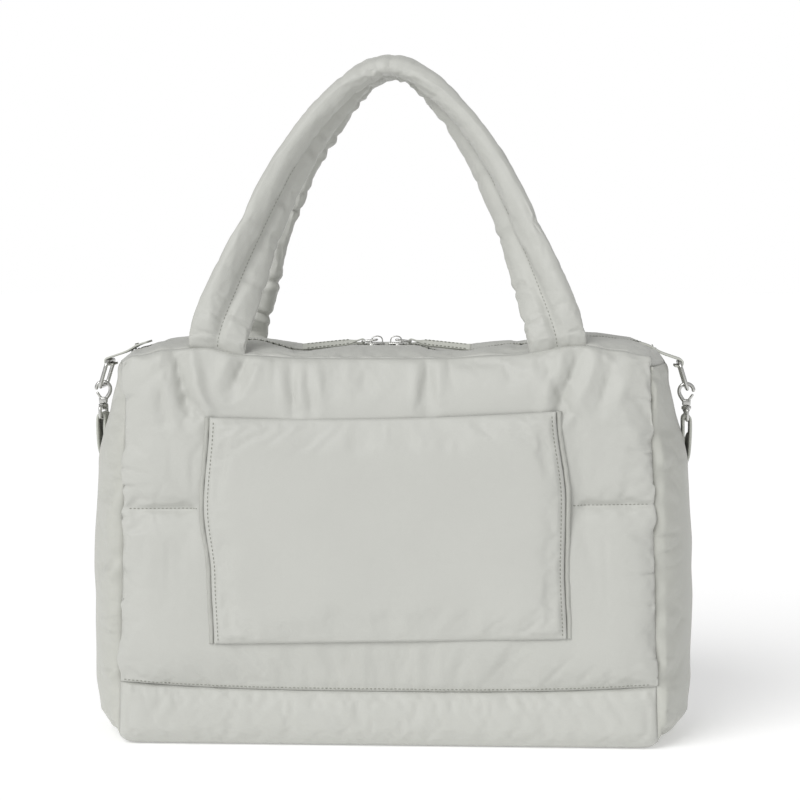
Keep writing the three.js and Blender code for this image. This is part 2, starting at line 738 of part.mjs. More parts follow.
function pocketPanel(columns, rows) {
  const outer = [];
  const inner = [];
  for (const up of crowded(rows, 0.5)) {
    const outerRow = [];
    const innerRow = [];
    for (const share of crowded(columns, 0.6)) {
      const left = pocketSide(up, 'left') + PIPING_SHOWS;
      const right = pocketSide(up, 'right') - PIPING_SHOWS;
      const x = blend(left, right, share);
      const height = pocketHeight(x, up);
      const fromSide = Math.min(share, 1 - share) * POCKET_WIDTH;
      const fromEnd = Math.min(up, 1 - up) * POCKET_HEIGHT;
      const rise = swell(fromSide, PUFF_REACH) * swell(fromEnd, PUFF_REACH);
      outerRow.push(new THREE.Vector3(x, -(pocketInner + POCKET_EDGE + POCKET_PUFF * rise), height));
      innerRow.push(new THREE.Vector3(x, -pocketInner, height));
    }
    outer.push(outerRow);
    inner.push(innerRow);
  }
  return paddedWall(outer, inner);
}

const pipingRadius = (POCKET_SPACE - 2 * GAP) / 2;
const pipingY = -(pocketFace + GAP + pipingRadius);

function pocketPiping(column) {
  const points = [0, 0.2, 0.4, 0.6, 0.8, 1].map((up) => {
    const x = pocketSide(up, column);
    return new THREE.Vector3(x, pipingY, pocketHeight(x, up));
  });
  return tube(new THREE.CatmullRomCurve3(points), 10, pipingRadius, 6);
}

function pocketHem() {
  const inset = pipingRadius + GAP + 0.4;
  const left = pocketSide(0, 'left') + inset;
  const right = pocketSide(0, 'right') - inset;
  const from = new THREE.Vector3(left, pipingY, pocketHeight(left, 0) + pipingRadius);
  const to = new THREE.Vector3(right, pipingY, pocketHeight(right, 0) + pipingRadius);
  return tube(new THREE.LineCurve3(from, to), 2, pipingRadius, 6);
}

addPiece('pocket_panel', pocketPanel(12, 8), NYLON);
addPiece('pocket_piping_left', pocketPiping('left'), PIPING_TAPE);
addPiece('pocket_piping_right', pocketPiping('right'), PIPING_TAPE);
addPiece('pocket_hem', pocketHem(), PIPING_TAPE);

// Handles

const handleBaseX = HANDLE_SPREAD / 2;
const handleBaseY = halfDepth + HANDLE_SEWN_THICKNESS / 2 + GAP;
const handleApexY = HANDLE_WIDTH / 2 + GAP;

function handlePoint(row, leg) {
  const lean = blend(handleBaseY, handleApexY, row.lean);
  const base = topSeamHeight(handleBaseX / seamHalfWidth(SEAM_HEIGHT));
  return new THREE.Vector3(leg * row.out * handleBaseX, -lean, base + HANDLE_RISE * row.up);
}

// Section of a handle: two padded lobes with the stitched seam between them
function handleSection(thickness, sides) {
  return Array.from({ length: sides }, (_, corner) => {
    const turn = (2 * Math.PI * corner) / sides;
    const across = Math.sign(Math.cos(turn)) * Math.abs(Math.cos(turn)) ** 0.85;
    const dent = 1 - HANDLE_SEAM_DENT * Math.exp(-((across / 0.22) ** 2));
    return { across: (HANDLE_WIDTH / 2) * across, out: (thickness / 2) * Math.sin(turn) * dent };
  });
}

function handle(side, steps, sides) {
  const left = HANDLE_LEG.map((row) => handlePoint(row, -1));
  const right = HANDLE_LEG.slice(0, -1).reverse().map((row) => handlePoint(row, 1));
  const curve = new THREE.CatmullRomCurve3([...left, ...right], false, 'centripetal');
  const last = HANDLE_LEG.length - 1;
  const rings = [];
  for (let step = 0; step <= steps; step += 1) {
    const share = step / steps;
    const centre = curve.getPoint(share);
    const along = curve.getTangent(share);
    const row = last * (1 - Math.abs(2 * share - 1));
    const low = Math.min(Math.floor(row), last - 1);
    const twist = radians(blend(HANDLE_LEG[low].twist, HANDLE_LEG[low + 1].twist, row - low));
    const inward = new THREE.Vector3(along.z, 0, -along.x).normalize();
    const front = new THREE.Vector3().crossVectors(inward, along).normalize();
    inward.crossVectors(along, front);
    const face = front.clone().multiplyScalar(Math.cos(twist)).addScaledVector(inward, Math.sin(twist));
    const wide = new THREE.Vector3().crossVectors(along, face);
    const baseHeight = topSeamHeight(handleBaseX / seamHalfWidth(SEAM_HEIGHT));
    const sewn = ease(clamp((centre.z - baseHeight) / (2 * HANDLE_THICKNESS)));
    const thickness = blend(HANDLE_SEWN_THICKNESS, HANDLE_THICKNESS, sewn);
    rings.push(handleSection(thickness, sides).map(({ across, out }) => {
      const point = centre.clone().addScaledVector(wide, across).addScaledVector(face, out);
      if (step === 0 || step === steps) {
        point.z = topSeamHeight(point.x / seamHalfWidth(SEAM_HEIGHT)) + GAP;
      }
      point.y *= -side;
      return point;
    }));
  }
  return skin(rings);
}

addPiece('handle_front', handle(-1, 30, 12), NYLON);
addPiece('handle_back', handle(1, 30, 12), NYLON);

// Side hardware

const tabBar = new THREE.Vector3(topEndX(0) + TAB_REACH, 0, endHeight - RING_WIRE / 2);
const ringLean = radians(RING_LEAN);
const ringLow = tabBar.clone().add(
  new THREE.Vector3(RING_HEIGHT * Math.sin(ringLean), 0, -RING_HEIGHT * Math.cos(ringLean)),
);

// Rectangular band across Y along a path in the XZ plane
function crossBand(path, width, thickness) {
  const rings = path.map((point, step) => {
    const before = path[Math.max(step - 1, 0)];
    const after = path[Math.min(step + 1, path.length - 1)];
    const along = after.clone().sub(before).normalize();
    const out = new THREE.Vector2(-along.y, along.x).multiplyScalar(thickness / 2);
    const high = point.clone().add(out);
    const low = point.clone().sub(out);
    return [
      new THREE.Vector3(high.x, -width / 2, high.y),
      new THREE.Vector3(high.x, width / 2, high.y),
      new THREE.Vector3(low.x, width / 2, low.y),
      new THREE.Vector3(low.x, -width / 2, low.y),
    ];
  });
  return skin(rings);
}

// Webbing tab: over the zipper's end, round the ring's upper bar and back under the end seam
function tab() {
  const bend = RING_WIRE / 2 + GAP + TAB_THICKNESS / 2;
  const rest = COIL_THICKNESS / 2 + TAB_REST + TAB_THICKNESS / 2;
  const path = [0.945, 0.985].map((share) => (
    new THREE.Vector2(topEndX(0) * share, zipperHeight(share) + rest)
  ));
  for (let turn = 80; turn >= -90; turn -= 34) {
    path.push(new THREE.Vector2(
      tabBar.x + bend * Math.cos(radians(turn)),
      tabBar.z + bend * Math.sin(radians(turn)),
    ));
  }
  path.push(new THREE.Vector2(tabBar.x - bend * 1.4, tabBar.z - bend * 0.92));
  return crossBand(path, WEBBING_WIDTH, TAB_THICKNESS);
}

const hookRadius = (HOOK_OPENING + HOOK_WIRE) / 2;
const hookCentreZ = -(HOOK_OPENING / 2 - RING_WIRE / 2 - GAP);
const blockTop = hookCentreZ - HOOK_SHANK + HOOK_BLOCK / 2;
const blockWidth = HOOK_WIRE * 2.2;
const blockDepth = GATE_WIRE + 2 * GAP + 2 * HOOK_BLOCK_WALL;
const gatePivot = new THREE.Vector2(blockWidth * 0.3, blockTop - GATE_WIRE * 0.3);
const gateTip = new THREE.Vector2(hookRadius * 0.93, hookCentreZ - hookRadius * 0.46);
const neckRadius = HOOK_WIRE * 0.6;
const blockBottom = blockTop - HOOK_BLOCK;
const headTop = blockBottom - BOSS_HEIGHT - 2 * GAP;

// Snap hook hanging on the ring's lower bar, which is at the origin, in the XZ plane
function hook() {
  const bend = [];
  for (let turn = -8; turn <= 180; turn += 23.5) {
    bend.push(new THREE.Vector3(
      hookRadius * Math.cos(radians(turn)), 0, hookCentreZ + hookRadius * Math.sin(radians(turn)),
    ));
  }
  bend.push(new THREE.Vector3(-hookRadius * 0.92, 0, hookCentreZ - hookRadius * 0.5));
  bend.push(new THREE.Vector3(-blockWidth * 0.3, 0, blockTop - HOOK_WIRE / 2));
  const wire = tube(new THREE.CatmullRomCurve3(bend), 12, HOOK_WIRE / 2, 6);
  const block = new THREE.BoxGeometry(blockWidth, blockDepth, HOOK_BLOCK);
  block.translate(0, 0, blockTop - HOOK_BLOCK / 2);
  const slot = new THREE.BoxGeometry(blockWidth, GATE_WIRE + 2 * GAP, HOOK_BLOCK);
  const slotX = gatePivot.x + blockWidth / 2 - GATE_WIRE / 2 - 2 * GAP;
  const slotZ = gatePivot.y + HOOK_BLOCK / 2 - GATE_WIRE / 2 - GAP;
  slot.translate(slotX, 0, slotZ);
  const pinHole = new THREE.CylinderGeometry(GATE_PIN / 2 + GAP, GATE_PIN / 2 + GAP, blockDepth * 2, 10);
  pinHole.translate(gatePivot.x, 0, gatePivot.y);
  const stud = new THREE.LatheGeometry([
    new THREE.Vector2(0, blockBottom + STUD_ROOT),
    new THREE.Vector2(neckRadius, blockBottom + STUD_ROOT),
    new THREE.Vector2(neckRadius, headTop),
    new THREE.Vector2(neckRadius + STUD_LIP, headTop),
    new THREE.Vector2(neckRadius + STUD_LIP, headTop - STUD_HEAD),
    new THREE.Vector2(0, headTop - STUD_HEAD),
  ].reverse(), 10).rotateX(Math.PI / 2);
  return joined([wire, block, stud], [slot, pinHole]);
}

// Gate from its pivot in the hook's block to the hook's tip
function hookGate() {
  const root = new THREE.Vector3(gatePivot.x, 0, gatePivot.y);
  const tip = new THREE.Vector3(gateTip.x, 0, gateTip.y);
  const lever = tube(new THREE.LineCurve3(root, tip), 2, GATE_WIRE / 2, 8);
  const knuckle = new THREE.CylinderGeometry(GATE_WIRE / 2, GATE_WIRE / 2, GATE_WIRE, 10);
  const pin = new THREE.CylinderGeometry(GATE_PIN / 2, GATE_PIN / 2, blockDepth, 10);
  knuckle.translate(gatePivot.x, 0, gatePivot.y);
  pin.translate(gatePivot.x, 0, gatePivot.y);
  return joined([lever, knuckle, pin]);
}

const eyeTop = blockBottom - GAP - BOSS_HEIGHT / 2;
const eyeBottom = eyeTop - EYE_HEIGHT;

// Eye below the hook: a wire loop across Y with the boss that turns on the hook's neck
function swivelEye() {
  const width = WEBBING_WIDTH + 2 * (GAP + EYE_CORNER) + EYE_WIRE;
  const loop = wireRing(EYE_HEIGHT + EYE_WIRE, width, EYE_CORNER, EYE_WIRE, 6, 12);
  loop.rotateY(Math.PI / 2).translate(0, 0, (eyeTop + eyeBottom) / 2);
  const bossRadius = neckRadius + BOSS_WALL;
  const boss = new THREE.CylinderGeometry(bossRadius, bossRadius, BOSS_HEIGHT, 12);
  boss.rotateX(Math.PI / 2).translate(0, 0, eyeTop);
  const bore = new THREE.CylinderGeometry(neckRadius + GAP, neckRadius + GAP, EYE_HEIGHT, 12);
  bore.rotateX(Math.PI / 2).translate(0, 0, eyeTop);
  const roomRadius = neckRadius + STUD_LIP + GAP;
  const roomHeight = STUD_HEAD + STUD_LIP;
  const room = new THREE.CylinderGeometry(roomRadius, roomRadius, roomHeight, 12);
  room.rotateX(Math.PI / 2).translate(0, 0, eyeTop - BOSS_HEIGHT / 2 - roomHeight / 2);
  return joined([loop, boss], [bore, room]);
}

for (const [name, side] of [['left', -1], ['right', 1]]) {
  const hardware = new THREE.Group();
  hardware.rotation.z = side < 0 ? Math.PI : 0;
  bag.add(hardware);
  addPiece(`tab_${name}`, tab(), WEBBING, hardware);
  const ringWidth = WEBBING_WIDTH + 2 * (GAP + RING_CORNER) + RING_WIRE;
  const ring = wireRing(RING_HEIGHT + RING_WIRE, ringWidth, RING_CORNER, RING_WIRE, 6, 16);
  ring.rotateY(Math.PI / 2 - ringLean).translate(
    (tabBar.x + ringLow.x) / 2, 0, (tabBar.z + ringLow.z) / 2,
  );
  addPiece(`ring_${name}`, ring, METAL, hardware);
  const hanging = new THREE.Group();
  hanging.position.copy(ringLow);
  hardware.add(hanging);
  addPiece(`hook_${name}`, hook(), METAL, hanging);
  addPiece(`hook_gate_${name}`, hookGate(), METAL, hanging);
  addPiece(`swivel_eye_${name}`, swivelEye(), METAL, hanging);
}

// Shoulder strap, from one eye round the back of the bag to the other

const eyeBar = ringLow.clone().add(new THREE.Vector3(0, 0, eyeBottom));

// Right half of the strap's middle line, with the way its outer face turns from +X (0) to +Y (90)
function strapHalf() {
  const bend = EYE_WIRE / 2 + GAP + STRAP_THICKNESS / 2;
  const rows = [];
  const add = (x, y, z, turn) => rows.push({ point: new THREE.Vector3(x, y, z), turn });
  add(eyeBar.x - bend, 0, eyeBar.z - STRAP_TAIL, 180);
  add(eyeBar.x - bend, 0, eyeBar.z - STRAP_TAIL * 0.4, 180);
  for (let turn = 180; turn >= 0; turn -= 36) {
    add(eyeBar.x + bend * Math.cos(radians(turn)), 0, eyeBar.z + bend * Math.sin(radians(turn)), turn);
  }
  add(eyeBar.x + bend * 1.1, 0, eyeBar.z - STRAP_TAIL * 0.4, 0);
  add(eyeBar.x + bend * 0.9, 1.5, eyeBar.z - STRAP_TAIL * 0.9, 0);
  const clear = GAP * 2 + STRAP_THICKNESS / 2;
  for (const row of STRAP_SIDE) {
    const height = eyeBar.z - STRAP_TAIL - row.down * STRAP_SIDE_DROP;
    const besideEye = row.back < 0.5 ? eyeBar.x - bend * 0.4 : 0;
    const x = Math.max(gussetX(row.back, height), besideEye) + clear * (1 + row.off);
    add(x, row.back * halfDepth + row.off * clear, height, row.turn);
  }
  const cornerZ = eyeBar.z - STRAP_TAIL - STRAP_SIDE_DROP;
  for (const row of STRAP_BACK) {
    const height = blend(cornerZ, STRAP_LOW_POINT, row.down);
    add(row.out * seamHalfWidth(height), halfDepth + BACK_PUFF * row.puff + clear, height, row.turn);
  }
  return rows;
}

function strap(steps) {
  const right = strapHalf();
  const mirrored = ({ point, turn }) => ({
    point: new THREE.Vector3(-point.x, point.y, point.z),
    turn: 180 - turn,
  });
  const rows = [...right, ...right.slice(0, -1).reverse().map(mirrored)];
  const curve = new THREE.CatmullRomCurve3(rows.map((row) => row.point), false, 'centripetal');
  const rings = [];
  for (let step = 0; step <= steps; step += 1) {
    const share = step / steps;
    const centre = curve.getPoint(share);
    const along = curve.getTangent(share);
    const row = share * (rows.length - 1);
    const low = Math.min(Math.floor(row), rows.length - 2);
    const turn = radians(blend(rows[low].turn, rows[low + 1].turn, row - low));
    const face = new THREE.Vector3(Math.cos(turn), Math.sin(turn), 0);
    if (Math.abs(along.y) < 0.02 && Math.abs(centre.y) < 1) {
      face.set(-along.z, 0, along.x);
    }
    const wide = new THREE.Vector3().crossVectors(along, face).normalize();
    face.crossVectors(wide, along).normalize();
    const corners = [[-1, -1], [1, -1], [1, 1], [-1, 1]];
    rings.push(corners.map(([across, out]) => centre.clone()
      .addScaledVector(wide, (across * WEBBING_WIDTH) / 2)
      .addScaledVector(face, (out * STRAP_THICKNESS) / 2)));
  }
  return skin(rings);
}

addPiece('shoulder_strap', strap(STRAP_STEPS), WEBBING);

// The origin is under the middle of everything, on the surface that the base stands on
const box = new THREE.Box3().setFromObject(bag);
const middle = box.getCenter(new THREE.Vector3());
bag.position.set(-middle.x, -middle.y, -box.min.z);

export default bag;
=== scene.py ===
import math

import bmesh
import bpy
import numpy as np
from bpy.props import FloatProperty, FloatVectorProperty, PointerProperty
from bpy.types import Operator, Panel, PropertyGroup
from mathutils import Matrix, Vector
from mathutils.bvhtree import BVHTree


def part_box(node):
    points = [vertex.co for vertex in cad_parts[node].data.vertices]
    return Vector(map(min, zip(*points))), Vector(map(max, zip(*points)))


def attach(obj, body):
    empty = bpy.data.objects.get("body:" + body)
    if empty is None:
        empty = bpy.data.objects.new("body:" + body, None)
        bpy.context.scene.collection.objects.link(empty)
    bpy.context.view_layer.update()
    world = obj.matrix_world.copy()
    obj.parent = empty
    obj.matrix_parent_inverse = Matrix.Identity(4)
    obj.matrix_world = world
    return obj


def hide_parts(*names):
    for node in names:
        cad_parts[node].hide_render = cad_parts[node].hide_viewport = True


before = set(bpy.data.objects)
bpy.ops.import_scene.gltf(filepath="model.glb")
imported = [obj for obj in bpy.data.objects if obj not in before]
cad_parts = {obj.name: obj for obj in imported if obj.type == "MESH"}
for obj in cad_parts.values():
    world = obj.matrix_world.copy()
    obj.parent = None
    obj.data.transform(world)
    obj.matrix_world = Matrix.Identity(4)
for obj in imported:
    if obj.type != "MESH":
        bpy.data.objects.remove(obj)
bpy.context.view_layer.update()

bl_info = {
    "name": "Puffer tote bag",
    "version": (1, 0, 0),
    "blender": (4, 5, 0),
    "location": "View3D > Sidebar > Tote",
    "description": "Dresses the tote's frame in padded nylon, webbing, a coil zipper and metal hardware",
    "category": "Add Mesh",
}

# Sizes that follow the frame, in metres. The bag's own middle lies a little behind the row's origin.
BAG_MIDDLE_Y = (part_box("handle_front")[1][1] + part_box("handle_back")[0][1]) / 2
CLEAR = 0.0003
SEAM_WIDTH_TOP = 0.396
SEAM_WIDTH_BOTTOM = 0.412
HALF_DEPTH = 0.078
SEAM_HEIGHT = 0.300
BASE_SEAM = 0.043
BASE_CORNER = 0.010
SEAM_WALL = 0.003
FRONT_PUFF = 0.010
BACK_PUFF = 0.008
BASE_PUFF = 0.0045
STRIP_PUFF = 0.0022
SIDE_BULGE = 0.029
TOP_END_BULGE = 0.014
MID_SEAM = 0.185
MID_TILT = 0.006
MID_REACH = 0.026
MID_START = 0.007
PUFF_REACH = 0.034
ZIPPER_EDGE = 0.009
ZIPPER_END_INSET = 0.005
COIL_WIDTH = 0.0046
COIL_THICKNESS = 0.0024
SLIDERS_MEET_X = -0.005
SLIDERS_APART = 0.003
SLIDER_LENGTH = 0.012
SLIDER_WIDTH = 0.009
SLIDER_PLATE = 0.0012
BAIL_HEIGHT = 0.0054
BAIL_HOLE = 0.0026
BAIL_THICKNESS = 0.0024
LINK_WIRE = 0.0014
LINK_LENGTH = 0.013
LINK_CORNER = 0.0013
RIBBON_LENGTH = 0.048
RIBBON_WIDTH = 0.006
RIBBON_THICKNESS = 0.0026
PULL_SLOPE = 6
POCKET_WIDTH = 0.268
POCKET_BOTTOM = 0.084
POCKET_HEIGHT = 0.172
POCKET_TILT = 0.006
POCKET_SPACE = 0.005
POCKET_EDGE = 0.003
POCKET_PUFF = 0.006
HANDLE_SPREAD = 0.258
HANDLE_RISE = 0.213
HANDLE_WIDTH = 0.044
HANDLE_THICKNESS = 0.017
HANDLE_SEWN = 0.004
WEBBING_WIDTH = 0.025
TAB_THICKNESS = 0.0016
TAB_REACH = 0.011
TAB_REST = 0.0016
RING_WIRE = 0.003
RING_HEIGHT = 0.021
RING_LEAN = math.radians(17)
RING_CORNER = 0.004
HOOK_WIRE = 0.003
HOOK_OPENING = 0.0082
HOOK_SHANK = 0.009
HOOK_BLOCK = 0.005
GATE_WIRE = 0.0022
EYE_WIRE = 0.0028
EYE_HEIGHT = 0.0086
EYE_CORNER = 0.0024
BOSS_HEIGHT = 0.0028
STRAP_THICKNESS = 0.002
STRAP_TAIL = 0.020
STRAP_LOW = 0.042
STRAP_SIDE_DROP = 0.062
STRAP_CLEAR = 2 * CLEAR + STRAP_THICKNESS / 2
STRAP_PRESS = 0.014
BINDING_PROUD = 0.0012
RIBBON_TILT = math.radians(-50)
HANDLE_TUCK = 0.009
LOBE_RISE = 0.48
SIDE_ROLL = 0.0050
TOP_ROLL = 0.0022
ROLL_REACH = 0.020

# Sizes of the skins and of small detail, in metres where they are lengths
SEAM_FADE = 0.002
SKIN_STEP = 4
HANDLE_STEPS = 168
HANDLE_SIDES = 40
RIBBON_LAYER = 0.0011
RIBBON_INSET = 0.0006
BAIL_BAND = 0.0009
BASE_STITCH_RISE = 0.0022
POCKET_STITCH_INSET = 0.0050
FAR_OFF = 0.3

# Camera of the photo: the focal length is in pixels of a picture of that width
SENSOR_WIDTH = 36.0
FOCAL_PIXELS = 2546.0
PICTURE_PIXELS = 800.0

# Height of the top seam and of the zipper, as shares of the seam height: across, share
TOP_SEAM_LINE = [
    (-1.0, -0.027), (-0.95, -0.005), (-0.85, 0.01), (-0.7, 0.017),
    (-0.52, -0.003), (-0.32, -0.01), (-0.12, -0.01),
    (0.07, -0.01), (0.2, -0.009), (0.45, 0.0), (0.74, 0.025), (0.89, 0.012), (0.96, -0.001), (1.0, -0.027),
]
ZIPPER_LINE = [
    (-1.0, -0.027), (-0.95, -0.005), (-0.85, 0.012), (-0.7, 0.024),
    (-0.52, 0.02), (-0.32, -0.008), (-0.12, 0.008),
    (0.07, 0.008), (0.2, -0.012), (0.45, 0.01), (0.74, 0.03), (0.89, 0.02), (0.96, 0.001), (1.0, -0.027),
]

# Bulge of the gussets: up, share
GUSSET_BULGE = [
    (0.0, 0.0), (0.02, 0.55), (0.06, 0.82), (0.15, 0.93), (0.5, 1.0), (0.72, 0.95), (0.88, 0.68), (1.0, 0.48),
]

# Folds of the front above the pocket: from x, from z, to x, to z, half width, depth
FRONT_FOLDS = [
    (-0.161, 0.300, -0.149, 0.254, 0.0055, 0.0034),
    (-0.171, 0.286, -0.166, 0.250, 0.0040, 0.0016),
    (-0.148, 0.266, -0.135, 0.248, 0.0040, 0.0018),
    (-0.105, 0.297, -0.116, 0.276, 0.0050, 0.0026),
    (-0.071, 0.292, -0.069, 0.257, 0.0035, 0.0013),
    (-0.060, 0.288, -0.056, 0.259, 0.0035, 0.0012),
    (0.031, 0.298, 0.031, 0.259, 0.0040, 0.0018),
    (0.143, 0.294, 0.128, 0.257, 0.0050, 0.0026),
    (0.120, 0.292, 0.134, 0.262, 0.0045, 0.0014),
    (0.186, 0.268, 0.198, 0.236, 0.0045, 0.0020),
    (0.170, 0.296, 0.160, 0.262, 0.0050, 0.0016),
]

# Side edges of the pocket, as shares of its half width: up, share
POCKET_LEFT = [(0.0, -0.985), (0.3, -1.0), (0.6, -1.04), (1.0, -1.005)]
POCKET_RIGHT = [(0.0, 1.03), (0.3, 1.015), (0.6, 1.02), (1.0, 0.965)]

# Middle line of a handle leg: out, up, lean, twist in degrees
HANDLE_LEG = [
    (1.0, 0.0, 0.0, 0), (0.965, 0.085, 0.08, 8), (0.915, 0.175, 0.19, 24), (0.77, 0.4, 0.46, 50),
    (0.545, 0.68, 0.74, 64), (0.32, 0.868, 0.9, 76), (0.13, 0.975, 0.98, 87), (0.0, 1.0, 1.0, 90),
]

# Deep creases across the handles: share of the whole length, depth, half width
HANDLE_CREASES = [
    (0.050, 0.0020, 0.0028), (0.110, 0.0024, 0.0026), (0.190, 0.0020, 0.0022), (0.235, 0.0026, 0.0028),
    (0.262, 0.0020, 0.0022), (0.335, 0.0030, 0.0030), (0.360, 0.0022, 0.0022), (0.425, 0.0022, 0.0022),
    (0.455, 0.0022, 0.0022), (0.480, 0.0026, 0.0026), (0.500, 0.0030, 0.0030), (0.522, 0.0024, 0.0024),
    (0.560, 0.0022, 0.0024), (0.620, 0.0024, 0.0026), (0.655, 0.0020, 0.0022), (0.720, 0.0026, 0.0028),
    (0.810, 0.0022, 0.0026), (0.900, 0.0024, 0.0026), (0.950, 0.0020, 0.0028),
]

# Strap beside the bag: back, down, off, turn. Strap behind the bag: out, down, puff, turn.
STRAP_SIDE = [(0.16, 0.12, 0.0, 0), (0.42, 0.38, 0.0, 8), (0.7, 0.64, 0.3, 20), (0.9, 0.84, 1.0, 38)]
STRAP_BACK = [
    (1.0, 0.0, 0.6, 62), (0.93, 0.08, 0.93, 82), (0.83, 0.24, 1.0, 90), (0.68, 0.5, 1.0, 90),
    (0.48, 0.78, 1.0, 90), (0.25, 0.94, 1.0, 90), (0.0, 1.0, 1.0, 90),
]


class ToteSizes(PropertyGroup):
    """Sizes of the cloth's detail."""

    pucker_depth: FloatProperty(
        name="Pucker depth", description="Height of the gathers along the seams",
        default=0.0012, min=0.0, max=0.004, precision=4, unit="LENGTH", subtype="DISTANCE",
    )
    pucker_pitch: FloatProperty(
        name="Pucker pitch", description="Distance between two gathers along a seam",
        default=0.013, min=0.004, max=0.05, precision=4, unit="LENGTH", subtype="DISTANCE",
    )
    pucker_reach: FloatProperty(
        name="Pucker reach", description="How far the gathers run away from a seam",
        default=0.020, min=0.005, max=0.06, precision=4, unit="LENGTH", subtype="DISTANCE",
    )
    cloth_pressure: FloatProperty(
        name="Filling pressure", description="Pressure of the filling while the cloth settles",
        default=4.0, min=0.0, max=20.0,
    )
    cloth_spare: FloatProperty(
        name="Spare cloth", description="Share of spare cloth gathered into the seams",
        default=0.012, min=0.0, max=0.1, subtype="FACTOR",
    )
    stitch_length: FloatProperty(
        name="Stitch length", description="Length of one stitch",
        default=0.0023, min=0.001, max=0.006, precision=4, unit="LENGTH", subtype="DISTANCE",
    )
    stitch_pitch: FloatProperty(
        name="Stitch pitch", description="Distance between two stitches",
        default=0.0031, min=0.0015, max=0.008, precision=4, unit="LENGTH", subtype="DISTANCE",
    )
    thread_width: FloatProperty(
        name="Thread width", description="Width of the sewing thread",
        default=0.0008, min=0.0003, max=0.002, precision=4, unit="LENGTH", subtype="DISTANCE",
    )
    coil_pitch: FloatProperty(
        name="Coil pitch", description="Distance between two turns of the zipper's coil",
        default=0.0024, min=0.001, max=0.004, precision=4, unit="LENGTH", subtype="DISTANCE",
    )
    nylon_weave: FloatProperty(
        name="Nylon weave", description="Distance between two threads of the nylon",
        default=0.00035, min=0.0001, max=0.002, precision=5, unit="LENGTH", subtype="DISTANCE",
    )
    webbing_weave: FloatProperty(
        name="Webbing weave", description="Distance between two ribs of the webbing",
        default=0.0014, min=0.0005, max=0.004, precision=4, unit="LENGTH", subtype="DISTANCE",
    )


class ToteColours(PropertyGroup):
    """Colours of the tote's finishes."""

    nylon: FloatVectorProperty(
        name="Nylon", description="Cloth of the panels, the pocket and the handles",
        default=(0.500, 0.504, 0.472), min=0.0, max=1.0, subtype="COLOR",
    )
    # The gussets' nylon is the panels' nylon made a little darker and yellower: painted shade of the shaded
    # gusset.
    nylon_side: FloatVectorProperty(
        name="Side nylon with painted shade", description="Cloth of the gussets",
        default=(0.486, 0.490, 0.450), min=0.0, max=1.0, subtype="COLOR",
    )
    binding: FloatVectorProperty(
        name="Binding", description="Tape that edges the pocket",
        default=(0.45, 0.455, 0.42), min=0.0, max=1.0, subtype="COLOR",
    )
    zipper: FloatVectorProperty(
        name="Zipper", description="Tape and coil of the zipper",
        default=(0.29, 0.295, 0.262), min=0.0, max=1.0, subtype="COLOR",
    )
    # The webbing is the same sage as the nylon; its darker colour here is painted shade.
    webbing: FloatVectorProperty(
        name="Webbing", description="Tabs, pulls and shoulder strap",
        default=(0.36, 0.363, 0.325), min=0.0, max=1.0, subtype="COLOR",
    )
    thread: FloatVectorProperty(
        name="Thread", description="Sewing thread",
        default=(0.27, 0.275, 0.24), min=0.0, max=1.0, subtype="COLOR",
    )
    metal: FloatVectorProperty(
        name="Metal", description="Sliders, rings and hooks",
        default=(0.60, 0.60, 0.58), min=0.0, max=1.0, subtype="COLOR",
    )
    floor: FloatVectorProperty(
        name="Floor", description="Studio floor",
        default=(0.92, 0.92, 0.92), min=0.0, max=1.0, subtype="COLOR",
    )


# Curves and tables


def ease(share):
    share = np.clip(share, 0.0, 1.0)
    return share * share * (3 - 2 * share)


def read_table(rows, at, column=1):
    """One column of a table at values of its first column, eased between the rows."""
    rows = np.asarray(rows, float)
    at = np.clip(at, rows[0, 0], rows[-1, 0])
    high = np.clip(np.searchsorted(rows[:, 0], at), 1, len(rows) - 1)
    low = high - 1
    share = ease((at - rows[low, 0]) / (rows[high, 0] - rows[low, 0]))
    return rows[low, column] + (rows[high, column] - rows[low, column]) * share


def swell(distance, reach):
    """Rise of a padded cell: 0 on its seam and 1 at its reach."""
    rest = 1 - np.clip(distance / reach, 0.0, 1.0)
    return np.sqrt(1 - rest * rest)


def rolled(distance, amount, reach):
    """How far the edge of a filled cell rolls over its own seam."""
    share = np.clip(distance / reach, 0.0, 1.0)
    return amount * 6.75 * share * (1 - share) ** 2


def cloth_noise(x, y, seed):
    """Smooth noise from -1 to 1 over a plane."""
    low_x, low_y = np.floor(x), np.floor(y)
    part_x, part_y = ease(x - low_x), ease(y - low_y)

    def corner(i, j):
        value = np.sin((low_x + i) * 127.1 + (low_y + j) * 311.7 + seed * 74.7) * 43758.5453
        return 2 * (value - np.floor(value)) - 1

    low = corner(0, 0) * (1 - part_x) + corner(1, 0) * part_x
    high = corner(0, 1) * (1 - part_x) + corner(1, 1) * part_x
    return low * (1 - part_y) + high * part_y


def seam_gathers(along, away, seed, sizes, deep=1.0):
    """Height of the small gathers that run away from a seam and fade out."""
    pitch = sizes.pucker_pitch
    lean = 0.35 * cloth_noise(along / (6 * pitch), away * 0, seed + 3) * away
    main = cloth_noise((along + lean) / pitch, away / (3.2 * pitch), seed)
    fine = cloth_noise((along - lean) / (0.42 * pitch), away / (1.6 * pitch), seed + 11)
    strong = 0.65 + 0.5 * cloth_noise(along / (4.5 * pitch), away * 0, seed + 23)
    crease = (1 - np.minimum(np.abs(main) * 2.8, 1)) ** 1.5
    start = np.clip(away / 0.0030, 0.0, 1.0)
    height = 0.50 * main + 0.20 * fine - 0.95 * crease
    return deep * sizes.pucker_depth * strong * start * height * np.exp(-((away / sizes.pucker_reach) ** 2))


def soft_waves(x, y, pitch, seed):
    """Low unevenness of a filled cell, from -1 to 1."""
    coarse = cloth_noise(x / pitch, y / pitch, seed)
    fine = cloth_noise(2.3 * x / pitch, 2.3 * y / pitch, seed + 7)
    return 0.7 * coarse + 0.3 * fine


def unit(vectors):
    return vectors / np.maximum(np.linalg.norm(vectors, axis=-1, keepdims=True), 1e-12)


